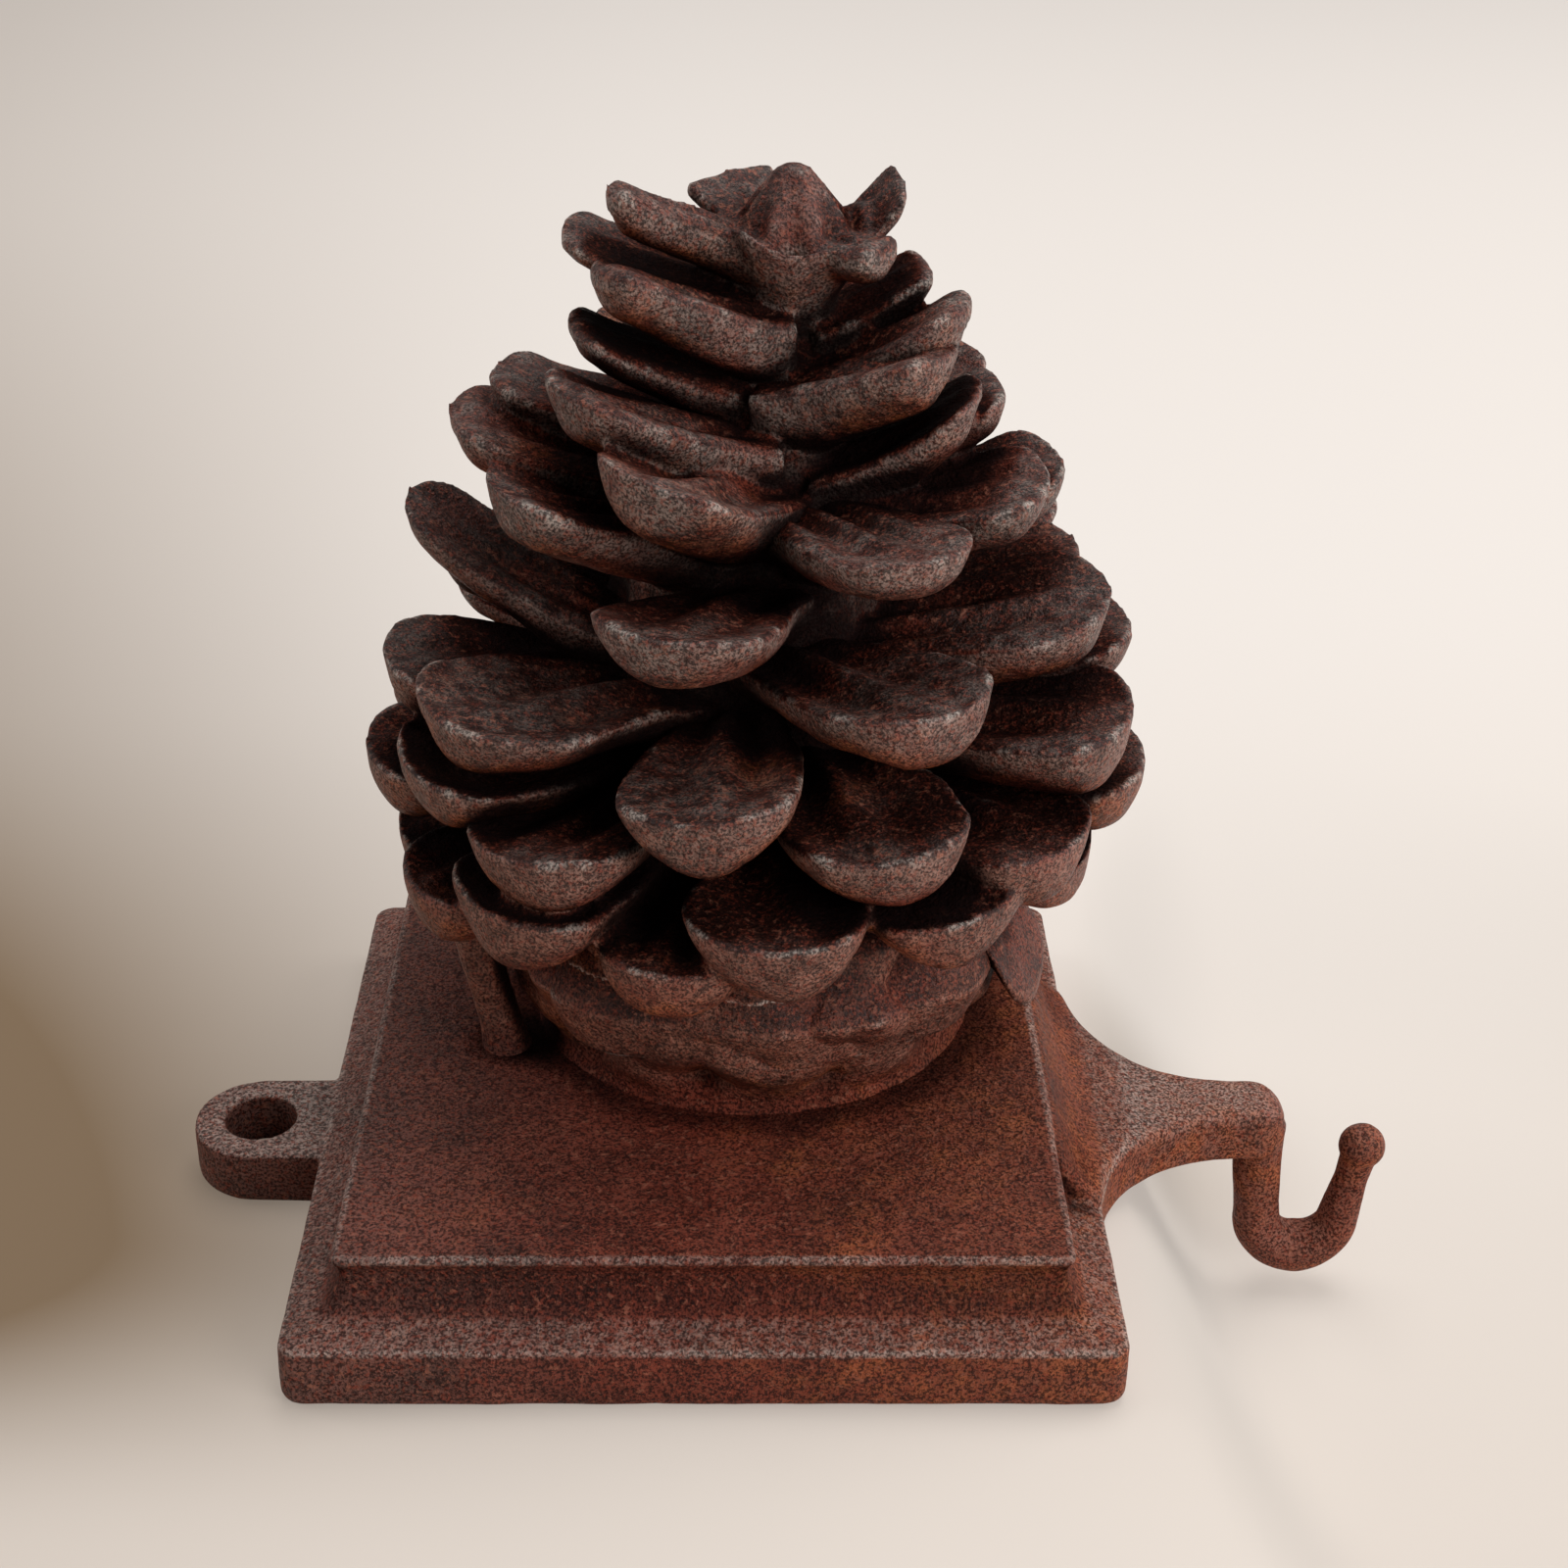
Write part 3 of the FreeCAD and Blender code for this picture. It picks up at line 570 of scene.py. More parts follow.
@dataclass
class HookArm:
    """Waisted arm from the plinth's side, with the hook bent from its end.

    The fillet against the plinth is a height, a start, a length and a power; the low hump beyond
    it is a height, a middle and a spread.
    """

    y: float = 2.0
    root_x: float = 50.0
    side_x: float = 57.5
    shank_x: float = 85.5
    end_x: float = 83.9
    neck_half: float = 5.2
    curve: float = 25.0
    thick: float = 8.8
    bar: float = 3.6
    bend_x: float = 93.3
    bend_radius: float = 6.5
    bend_z: float = -13.5
    tip_x: float = 101.9
    tip_z: float = -0.5
    ball: float = 3.6
    shank_z: float = 4.0
    leg_lean: float = 19.0
    neck_back: float = 1.5
    fillet: tuple[float, ...] = (9.5, 51.0, 3.9, 1.25)
    hump: tuple[float, ...] = (1.2, 58.5, 50.0)
    end_round: float = 4.2
    box_power: float = 0.30
    bar_places: tuple[float, ...] = (0, 0.15, 0.3, 0.55, 0.72, 0.88, 1.0)
    bar_shares: tuple[float, ...] = (1.16, 1.04, 0.97, 1.20, 0.90, 0.72, 0.80)

    def boxed(self, wave: np.ndarray) -> np.ndarray:
        """Sine or cosine pressed outwards, so that a circle becomes a box with soft corners."""
        return np.sign(wave) * np.abs(wave) ** self.box_power

    def arm_shell(self) -> Shell:
        """Carry a soft box section along X: its half width follows the hollow sides and the round end.

        Returns:
            The closed surface.
        """
        end = self.end_x + self.neck_half - 0.02
        x = self.root_x + (end - self.root_x) * np.sin(np.linspace(0, np.pi / 2, 70))
        neck_x = self.end_x - self.neck_back
        away = np.clip(neck_x - np.maximum(x, self.side_x), 0, self.curve - 0.01)
        half = self.neck_half + self.curve - np.sqrt(self.curve ** 2 - away ** 2)
        beyond = np.clip(x - self.end_x, 0, None)
        half = np.where(x > self.end_x, np.sqrt(np.maximum(self.neck_half ** 2 - beyond ** 2, 0.01)), half)
        height, start, length, power = self.fillet
        foot = height * np.exp(-((np.maximum(x, start) - start) / length) ** power)
        height, middle, spread = self.hump
        rise = foot + height * np.exp(-(x - middle) ** 2 / spread)
        bent = np.clip(x - (end - self.end_round), 0, self.end_round - 0.01)
        top = self.thick + rise - 0.8 * (self.end_round - np.sqrt(self.end_round ** 2 - bent ** 2))
        angle = full_turn(64)
        y = self.y + half[:, None] * self.boxed(np.cos(angle))
        z = top[:, None] / 2 + top[:, None] / 2 * self.boxed(np.sin(angle))
        return closed_tube(np.stack([np.broadcast_to(x[:, None], y.shape), y, z], -1))

    def hook_shell(self) -> Shell:
        """Carry a circle down the shank, round the bend and up the leaning leg to the ball.

        Returns:
            The closed surface.
        """
        share = np.linspace(0, 1, 14, endpoint=False)
        down = np.stack([self.shank_x + (self.bend_x - self.bend_radius - self.shank_x) * share ** 1.5,
                         self.shank_z + (self.bend_z - self.shank_z) * share], 1)
        turn = np.linspace(np.pi, 2 * np.pi - math.radians(self.leg_lean), 40)
        bend = np.stack([self.bend_x + self.bend_radius * np.cos(turn),
                         self.bend_z + self.bend_radius * np.sin(turn)], 1)
        share = np.linspace(0, 1, 18)[1:, None]
        rise = bend[-1] + (np.array([self.tip_x, self.tip_z]) - bend[-1]) * share
        line = np.concatenate([down, bend, rise])
        tangent = np.gradient(line, axis=0)
        tangent /= np.linalg.norm(tangent, axis=1)[:, None]
        travelled = np.concatenate([[0], np.cumsum(np.linalg.norm(np.diff(line, axis=0), axis=1))])
        share = travelled / travelled[-1]
        radius = self.bar * np.interp(share, self.bar_places, self.bar_shares)
        angle = full_turn(32)
        out = radius[:, None] * np.cos(angle)
        x = line[:, :1] - tangent[:, 1:] * out
        z = line[:, 1:] + tangent[:, :1] * out
        y = self.y + radius[:, None] * np.sin(angle) * 0.97
        return closed_tube(np.stack([x, y, z], -1))

    def ball_shell(self) -> Shell:
        """Ball on the hook's end: circles of latitude from pole to pole."""
        height = np.linspace(-np.pi / 2 + 0.05, np.pi / 2 - 0.05, 24)[:, None]
        turn = full_turn(40)
        ring = np.stack([np.cos(height) * np.cos(turn), np.cos(height) * np.sin(turn) * 0.95,
                         np.broadcast_to(np.sin(height), (24, 40))], -1)
        return closed_tube(np.array([self.tip_x, self.y, self.tip_z]) + self.ball * ring)

    def shells(self) -> list[Shell]:
        """Arm, hook and ball."""
        return [self.arm_shell(), self.hook_shell(), self.ball_shell()]


@dataclass
class Strut:
    """Short leaning strut between the flat top and the low scales beside the bowl."""

    foot: tuple[float, float, float] = (-30.0, 1.5, 17.6)
    head: tuple[float, float, float] = (-35.2, -2.0, 48.1)
    radius: float = 2.9
    foot_swell: float = 0.5
    head_swell: float = 0.35

    def shell(self) -> Shell:
        """Carry a circle from foot to head, wider at both ends than in the middle."""
        share = np.linspace(0, 1, 24)[:, None]
        radius = self.radius * (1 + self.foot_swell * (1 - share) ** 6 + self.head_swell * share ** 3)
        foot, head = np.array(self.foot), np.array(self.head)
        centre = foot + (head - foot) * share[..., None]
        return closed_tube(centre + turned(radius, full_turn(32), np.zeros(1)))


@dataclass(frozen=True)
class CastSkin:
    """How the union of several shells becomes one piece of casting."""

    voxel: float = 0.62
    smoothing: int = 3
    triangles: int = 138_000
    lump: float = 0.32
    lump_size: float = 7.0
    pit: float = 0.11
    pit_size: float = 2.2

    def piece(self, name: str, shells: list[Shell], seed: int) -> bpy.types.Object:
        """Melt shells into one closed skin with soft inner corners, then roughen it.

        Args:
            name: Name of the piece.
            shells: Closed surfaces that overlap.
            seed: Number that sets the roughness.

        Returns:
            The finished object, at the origin.
        """
        whole = joined(shells)
        mesh = bpy.data.meshes.new(name)
        mesh.vertices.add(len(whole.points))
        mesh.vertices.foreach_set("co", (whole.points * MM).ravel())
        mesh.loops.add(3 * len(whole.triangles))
        mesh.loops.foreach_set("vertex_index", whole.triangles.ravel())
        mesh.polygons.add(len(whole.triangles))
        mesh.polygons.foreach_set("loop_start", np.arange(len(whole.triangles)) * 3)
        mesh.update(calc_edges=True)
        raw = placed(name + "_raw", mesh)
        remesh = raw.modifiers.new("skin", "REMESH")
        remesh.mode = "VOXEL"
        remesh.voxel_size = self.voxel * MM
        soften = raw.modifiers.new("soften", "SMOOTH")
        soften.factor = 0.5
        soften.iterations = self.smoothing
        graph = bpy.context.evaluated_depsgraph_get()
        full = len(raw.evaluated_get(graph).data.polygons) * 2
        if full > self.triangles:
            thin = raw.modifiers.new("thin", "DECIMATE")
            thin.ratio = self.triangles / full
            graph = bpy.context.evaluated_depsgraph_get()
        skin = bpy.data.meshes.new_from_object(raw.evaluated_get(graph))
        skin.name = name
        bpy.data.objects.remove(raw)
        piece = placed(name, skin)
        points, normals = surface(skin)
        shift = self.lump * rough_field(points, self.lump_size, seed)
        shift += self.pit * rough_field(points, self.pit_size, seed + 1)
        skin.vertices.foreach_set("co", ((points + normals * shift[:, None]) * MM).ravel())
        skin.polygons.foreach_set("use_smooth", np.ones(len(skin.polygons), dtype=bool))
        skin.update()
        log.info("%s: %d triangles before thinning", name, full)
        return piece


CONE_SKIN = CastSkin()
BASE_SKIN = CastSkin(voxel=0.46, lump=0.08, pit=0.05, smoothing=1)


def surface(mesh: bpy.types.Mesh) -> tuple[np.ndarray, np.ndarray]:
    """Points in millimetres and unit normals of a mesh's vertices."""
    points = np.empty(len(mesh.vertices) * 3)
    mesh.vertices.foreach_get("co", points)
    normals = np.empty(len(mesh.vertices) * 3)
    mesh.vertex_normals.foreach_get("vector", normals)
    return points.reshape(-1, 3) / MM, normals.reshape(-1, 3)


@dataclass
class SurfaceReadings:
    """Worn edges and crowded recesses, read off the meshes as vertex attributes.

    wear is how far a point stands out from the average of its surroundings. crowding is how much
    iron lies close in front of a point: area counted in cubic cells, blurred, and read a short
    way out along the normal. facing is 1 where the skin faces up and -1 where it faces down.
    """

    cell: float = 2.5
    margin: float = 30.0
    look_out: float = 6.0
    blurs: int = 3
    steps: int = 8
    pieces: list[bpy.types.Object] = field(default_factory=list)

    def standing_out(self, mesh: bpy.types.Mesh, points: np.ndarray, normals: np.ndarray) -> np.ndarray:
        """Height of each vertex above its smoothed place, along the normal, in millimetres."""
        edges = np.empty(len(mesh.edges) * 2, dtype=np.int64)
        mesh.edges.foreach_get("vertices", edges)
        one, two = edges.reshape(-1, 2).T
        count = np.bincount(one, minlength=len(points)) + np.bincount(two, minlength=len(points))
        smooth = points.copy()
        for _ in range(self.steps):
            for axis in range(3):
                value = smooth[:, axis]
                total = np.bincount(one, value[two], len(points)) + np.bincount(two, value[one], len(points))
                smooth[:, axis] = total / np.maximum(count, 1)
        return ((points - smooth) * normals).sum(1)

    def write(self) -> None:
        """Work out the three readings for every piece and store them as attributes."""
        data = [(piece.data, *surface(piece.data)) for piece in self.pieces]
        everything = np.concatenate([points for _, points, _ in data])
        low = everything.min(0) - self.margin
        shape = np.ceil((everything.max(0) + self.margin - low) / self.cell).astype(int)
        field_values = np.zeros(shape)
        for mesh, points, _ in data:
            area = sum_area(mesh) / len(points)
            cells = np.floor((points - low) / self.cell).astype(int)
            np.add.at(field_values, tuple(cells.T), area / self.cell ** 2)
        for _ in range(self.blurs):
            for axis in range(3):
                before, after = np.roll(field_values, 1, axis), np.roll(field_values, -1, axis)
                field_values = (before + field_values + after) / 3
        for mesh, points, normals in data:
            wear = self.standing_out(mesh, points, normals)
            crowd = blended(field_values, (points + normals * self.look_out - low) / self.cell - 0.5)
            for name, values in (("wear", wear), ("crowding", crowd), ("facing", normals[:, 2])):
                attribute = mesh.attributes.new(name, "FLOAT", "POINT")
                attribute.data.foreach_set("value", values.astype(np.float32))


def sum_area(mesh: bpy.types.Mesh) -> float:
    """Area of a mesh in square millimetres."""
    areas = np.empty(len(mesh.polygons))
    mesh.polygons.foreach_get("area", areas)
    return float(areas.sum()) / MM ** 2


class NodeSheet:
    """Short names for the nodes of one material."""

    def __init__(self, material: bpy.types.Material) -> None:
        """Start an empty node tree on the material."""
        material.use_nodes = True
        self.tree = material.node_tree
        self.tree.nodes.clear()
        self.place = self.node("TexCoord").outputs["Object"]

    def link(self, value: object, socket: Socket) -> None:
        """Set a socket to a number or colour, or connect an output to it."""
        if isinstance(value, bpy.types.NodeSocket):
            self.tree.links.new(value, socket)
        else:
            socket.default_value = value

    def node(self, kind: str, *values: object, **named: object) -> bpy.types.Node:
        """Add a shader node and fill its inputs.

        Args:
            kind: End of the node type's name.
            values: Numbers, colours or outputs for the first inputs, in their order.
            named: The same for inputs by name, with _ for a space.

        Returns:
            The node.
        """
        node = self.tree.nodes.new("ShaderNode" + kind)
        for place, value in enumerate(values):
            self.link(value, node.inputs[place])
        for name, value in named.items():
            self.link(value, node.inputs[name.replace("_", " ")])
        return node

    def axes(self) -> tuple[Socket, ...]:
        """Place along X, Y and Z in metres."""
        return tuple(self.node("SeparateXYZ", self.place).outputs)

    def noise(self, size: float, detail: float, rough: float) -> Socket:
        """Noise with lumps of the given size in millimetres."""
        noise = self.node("TexNoise", Vector=self.place, Scale=1.0 / (size * MM), Detail=detail,
                          Roughness=rough)
        return noise.outputs["Fac"]

    def attribute(self, name: str) -> Socket:
        """Value of a vertex attribute."""
        node = self.node("Attribute")
        node.attribute_name = name
        return node.outputs["Fac"]

    def ramp(self, value: Socket, low: float, high: float, to_low: float = 0.0,
             to_high: float = 1.0) -> Socket:
        """Map a range smoothly onto another one, held at its ends."""
        node = self.node("MapRange", Value=value, From_Min=low, From_Max=high, To_Min=to_low, To_Max=to_high)
        node.interpolation_type = "SMOOTHSTEP"
        return node.outputs["Result"]

    def step(self, operation: str, one: object, two: object = 0.0) -> Socket:
        """One step of arithmetic."""
        node = self.node("Math", one, two)
        node.operation = operation
        return node.outputs[0]

    def times(self, *values: object) -> Socket:
        """Product of all the values."""
        return reduce(partial(self.step, "MULTIPLY"), values)

    def plus(self, one: object, two: object) -> Socket:
        """Sum of two values."""
        return self.step("ADD", one, two)

    def most(self, one: object, two: object) -> Socket:
        """Larger of two values."""
        return self.step("MAXIMUM", one, two)

    def rest(self, share: Socket) -> Socket:
        """What a share leaves of one."""
        return self.step("SUBTRACT", 1.0, share)

    def line(self, value: Socket, middle: float, outer: float, inner: float) -> Socket:
        """Full within a distance of inner from the middle value, and nothing beyond outer."""
        return self.ramp(self.step("ABSOLUTE", self.step("SUBTRACT", value, middle)), outer, inner)

    def between(self, share: Socket, one: object, two: object) -> Socket:
        """Value that goes from one to two with the share."""
        return self.plus(self.times(one, self.rest(share)), self.times(two, share))

    def mix(self, share: Socket, one: object, two: object) -> Socket:
        """Colour that goes from one to two with the share."""
        node = self.node("Mix", share)
        node.data_type = "RGBA"
        self.link(one, node.inputs[6])
        self.link(two, node.inputs[7])
        return node.outputs[2]

    def bump(self, height: Socket, strength: float, distance: float, **below: Socket) -> Socket:
        """Relief from a height, distance in millimetres, laid over the Normal of the relief below."""
        node = self.node("Bump", Height=height, Strength=strength, Distance=distance * MM, **below)
        return node.outputs["Normal"]


class IronSheet(NodeSheet):
    """Noises, vertex attributes and regions that the layers of rusted iron share."""

    def __init__(self, material: bpy.types.Material) -> None:
        """Add the shared nodes."""
        super().__init__(material)
        self.clouds = self.noise(13.0, 5.0, 0.62)
        self.patches = self.noise(24.0, 6.0, 0.66)
        self.blotch = self.noise(3.0, 4.0, 0.62)
        self.specks = self.noise(1.10, 3.0, 0.65)
        self.grain = self.noise(0.42, 2.0, 0.65)
        self.wear, self.crowd, self.facing = map(self.attribute, ("wear", "crowding", "facing"))
        self.across, back, self.height = self.axes()
        self.aside = self.step("ABSOLUTE", self.across)
        self.edge = self.most(self.aside, self.step("ABSOLUTE", back))
        self.cone = self.ramp(self.height, 0.021, 0.027)
        self.plinth = self.rest(self.cone)
        self.exposed = self.ramp(self.crowd, 0.30, 0.02)
        self.tops = self.times(self.ramp(self.facing, 0.55, 0.92), self.cone)


@dataclass(frozen=True)
class RustedIron:
    """Oiled brown-red rust on cast iron: grey-pink worn bands and orange patches, with dirt and painted
    shade in the recesses and painted sheen and highlights.

    Places in the layers are metres in the frame of the solids.
    """

    name: str = "rusted_iron"
    umber: Colour = (0.030, 0.010, 0.007, 1.0)
    oxide: Colour = (0.200, 0.040, 0.023, 1.0)
    orange: Colour = (0.400, 0.110, 0.034, 1.0)
    patina: Colour = (0.330, 0.240, 0.205, 1.0)
    ruddy: Colour = (0.330, 0.120, 0.075, 1.0)
    # colour of the painted light on the hook's arm
    pale: Colour = (0.380, 0.250, 0.215, 1.0)
    # grey of the dust on the ear and left side, and of the painted sheen on the open tops
    dust_and_sheen: Colour = (0.175, 0.136, 0.118, 1.0)
    bare: Colour = (0.480, 0.410, 0.360, 1.0)
    # near-black of the grain's black specks, and of the painted shade in the cove and the crowded recesses,
    # with some dirt
    soot_and_shade: Colour = (0.006, 0.003, 0.003, 1.0)
    crowded: Range = (0.20, 0.56)

    def ground(self, sheet: IronSheet) -> Socket:
        """Deep red on the plinth and umber on the cone, in broad clouds."""
        ramp = sheet.ramp
        reddish = sheet.between(sheet.cone, ramp(sheet.clouds, 0.28, 0.66, 0.30, 1.0),
                                ramp(sheet.clouds, 0.42, 0.70, 0.05, 0.85))
        return sheet.mix(reddish, self.umber, self.oxide)

    def patinated(self, sheet: IronSheet, colour: Socket) -> Socket:
        """Grey-pink patina and painted sheen on exposed faces, worn steep bands, painted shade on the lower
        tops and a painted grey sheen on the higher open tops.
        """
        ramp, times, mix = sheet.ramp, sheet.times, sheet.mix
        band = times(ramp(sheet.facing, 0.45, 0.10), ramp(sheet.facing, -0.75, -0.25), sheet.cone)
        # patina and painted sheen together on the open faces, less on the plinth than on the cone
        open_patina_and_sheen = times(sheet.exposed, ramp(sheet.cone, 0.0, 1.0, 0.22, 0.62),
                          ramp(sheet.plus(sheet.blotch, sheet.clouds), 0.86, 1.24, 0.02, 0.60))
        # worn steep bands, and the patina with its painted sheen on the open faces
        worn = sheet.most(open_patina_and_sheen, times(band, ramp(sheet.blotch, 0.28, 0.66, 0.28, 0.86)))
        skin = mix(ramp(sheet.height, 0.105, 0.040, 0.0, 0.85), self.patina, self.ruddy)
        # painted shade, with some dirt, on the tops of the lower scales
        shaded = times(sheet.tops, ramp(sheet.height, 0.115, 0.085, 0.50, 0.86))
        # painted sheen: a grey reflection on the open tops, stronger higher up the cone
        painted_sheen = times(sheet.tops, sheet.exposed, ramp(sheet.blotch, 0.38, 0.62, 0.0, 0.75),
                      ramp(sheet.height, 0.050, 0.085, 0.15, 1.0))
        return mix(painted_sheen, mix(shaded, mix(worn, colour, skin), self.umber), self.dust_and_sheen)

    def sided(self, sheet: IronSheet, colour: Socket) -> Socket:
        """Greyer ear and left side, and painted light on the arm, most on its top."""
        ramp, times = sheet.ramp, sheet.times
        grey = times(ramp(sheet.across, 0.0, -0.062, 0.0, 0.40), sheet.plinth)
        # painted light on the arm: paler all over and most on its upward faces, less on the hook
        arm = times(ramp(sheet.across, 0.058, 0.072), ramp(sheet.facing, -0.30, 0.70, 0.12, 0.80),
                    ramp(sheet.across, 0.096, 0.078, 0.30, 1.0))
        return sheet.mix(arm, sheet.mix(grey, colour, self.dust_and_sheen), self.pale)

    def rusty(self, sheet: IronSheet, colour: Socket) -> Socket:
        """Orange under the bellies and in patches, and painted light that makes the plinth redder and
        lighter towards its right side.
        """
        ramp, times, plus = sheet.ramp, sheet.times, sheet.plus
        foot = ramp(sheet.height, 0.110, 0.020)
        below = times(ramp(sheet.facing, 0.15, -0.9), plus(0.40, times(foot, 0.4)))
        corner = times(ramp(sheet.across, -0.020, 0.050), ramp(sheet.height, 0.024, 0.018))
        patches = ramp(plus(sheet.patches, plus(times(below, 0.28), times(corner, 0.13))), 0.54, 0.78)
        amount = sheet.between(sheet.cone, ramp(sheet.across, -0.040, 0.040, 0.30, 1.0), 0.90)
        orange = times(patches, ramp(sheet.blotch, 0.35, 0.65, 0.15, 0.80), amount)
        # painted light from the right: the plinth grows redder and lighter towards its right side
        painted_light_right = times(ramp(sheet.across, -0.010, 0.066, 0.0, 0.34), sheet.plinth)
        return sheet.mix(painted_light_right, sheet.mix(orange, colour, self.orange), self.ruddy)

    def moulded(self, sheet: IronSheet, colour: Socket) -> Socket:
        """Painted shade in the cove, and pale patina specks on the ledge that also paint the light it
        catches facing up, round the plinth.
        """
        ramp, times = sheet.ramp, sheet.times
        # painted shade in the cove all round, fading out at the right end
        cove = times(ramp(sheet.height, 0.0105, 0.0125), ramp(sheet.height, 0.0190, 0.0180),
                     ramp(sheet.edge, 0.0484, 0.0490), ramp(sheet.across, 0.056, 0.050, 0.0, 0.42))
        # patina specks on the ledge that also stand in for the light it catches facing up
        ledge = times(ramp(sheet.height, 0.0088, 0.0094), ramp(sheet.height, 0.0114, 0.0106),
                      ramp(sheet.specks, 0.40, 0.62, 0.10, 0.55))
        return sheet.mix(ledge, sheet.mix(cove, colour, self.soot_and_shade), self.patina)

    def rubbed(self, sheet: IronSheet, colour: Socket) -> Socket:
        """Pale iron in broken spots on the sharpest edges, and pale lines along the plinth's two edges that
        are wear and painted highlights in one.
        """
        ramp, times = sheet.ramp, sheet.times
        top_edge = times(sheet.line(sheet.edge, 0.0498, 0.0009, 0.0003), ramp(sheet.height, 0.0182, 0.0190),
                         sheet.plinth)
        slab_edge = times(sheet.line(sheet.height, 0.0092, 0.0007, 0.0002), ramp(sheet.edge, 0.0560, 0.0570))
        # pale lines along the plinth's edges: wear and painted highlights in one
        worn_and_highlight_lines = times(sheet.most(top_edge, slab_edge),
                      ramp(sheet.plus(sheet.specks, sheet.patches), 0.80, 1.18, 0.12, 0.80))
        broken = times(sheet.step("SUBTRACT", sheet.blotch, 0.5), 1.5)
        chipped = ramp(sheet.plus(sheet.wear, broken), 0.36, 0.66)
        return sheet.mix(sheet.most(times(chipped, 0.62), times(worn_and_highlight_lines, 0.60)), colour, self.bare)

    def speckled(self, sheet: IronSheet, colour: Socket) -> Socket:
        """Fine grain of red and black, and dirt and painted shade in the crowded recesses."""
        ramp = sheet.ramp
        for share, tint in (
            (ramp(sheet.noise(0.75, 2.0, 0.6), 0.50, 0.64, 0.0, 0.70), self.oxide),
            (ramp(sheet.grain, 0.42, 0.60, 0.0, 0.80), self.soot_and_shade),
            (ramp(sheet.specks, 0.57, 0.68, 0.0, 0.50), self.ruddy),
        ):
            colour = sheet.mix(share, colour, tint)
        outboard = sheet.times(ramp(sheet.aside, 0.058, 0.064, 0.0, 0.85), sheet.plinth)
        # painted shade with some dirt: darker where much iron lies close in front of the skin, except on the
        # ear and arm
        dark = sheet.times(ramp(sheet.crowd, *self.crowded, 0.0, 0.95), sheet.rest(outboard))
        return sheet.mix(dark, colour, self.soot_and_shade)

    def material(self) -> bpy.types.Material:
        """Node material of the finish: the layers from the ground up, a satin shine and a fine relief."""
        material = bpy.data.materials.new(self.name)
        sheet = IronSheet(material)
        ramp = sheet.ramp
        colour = self.ground(sheet)
        for layer in (self.patinated, self.sided, self.rusty, self.moulded, self.rubbed, self.speckled):
            colour = layer(sheet, colour)
        relief = sheet.bump(sheet.blotch, 0.55, 1.3)
        relief = sheet.bump(sheet.specks, 0.65, 0.8, Normal=relief)
        relief = sheet.bump(sheet.grain, 0.70, 0.45, Normal=relief)
        shine = sheet.times(ramp(sheet.crowd, 0.06, 0.36, 0.22, 0.01), ramp(sheet.cone, 0.0, 1.0, 0.4, 1.0))
        shader = sheet.node("BsdfPrincipled", Base_Color=colour, Normal=relief, Specular_IOR_Level=shine,
                            Roughness=ramp(sheet.plus(sheet.specks, sheet.blotch), 0.8, 1.2, 0.40, 0.62))
        sheet.node("OutputMaterial", Surface=shader.outputs[0])
        return material


@dataclass(frozen=True)
class SoftLamp:
    """Square soft lamp: place and side in metres, power in watts."""

    name: str
    place: tuple[float, float, float]
    size: float
    power: float

    def build(self, target: tuple[float, float, float]) -> None:
        """Add the lamp, aimed at the target."""
        data = bpy.data.lights.new(self.name, "AREA")
        data.shape = "SQUARE"
        data.size = self.size
        data.energy = self.power
        lamp = placed(self.name, data)
        lamp.location = self.place
        aim = np.array(target) - np.array(self.place)
        turn = math.atan2(aim[1], aim[0])
        drop = math.atan2(np.hypot(aim[0], aim[1]), -aim[2])
        lamp.rotation_euler = (drop, 0.0, turn - math.pi / 2)


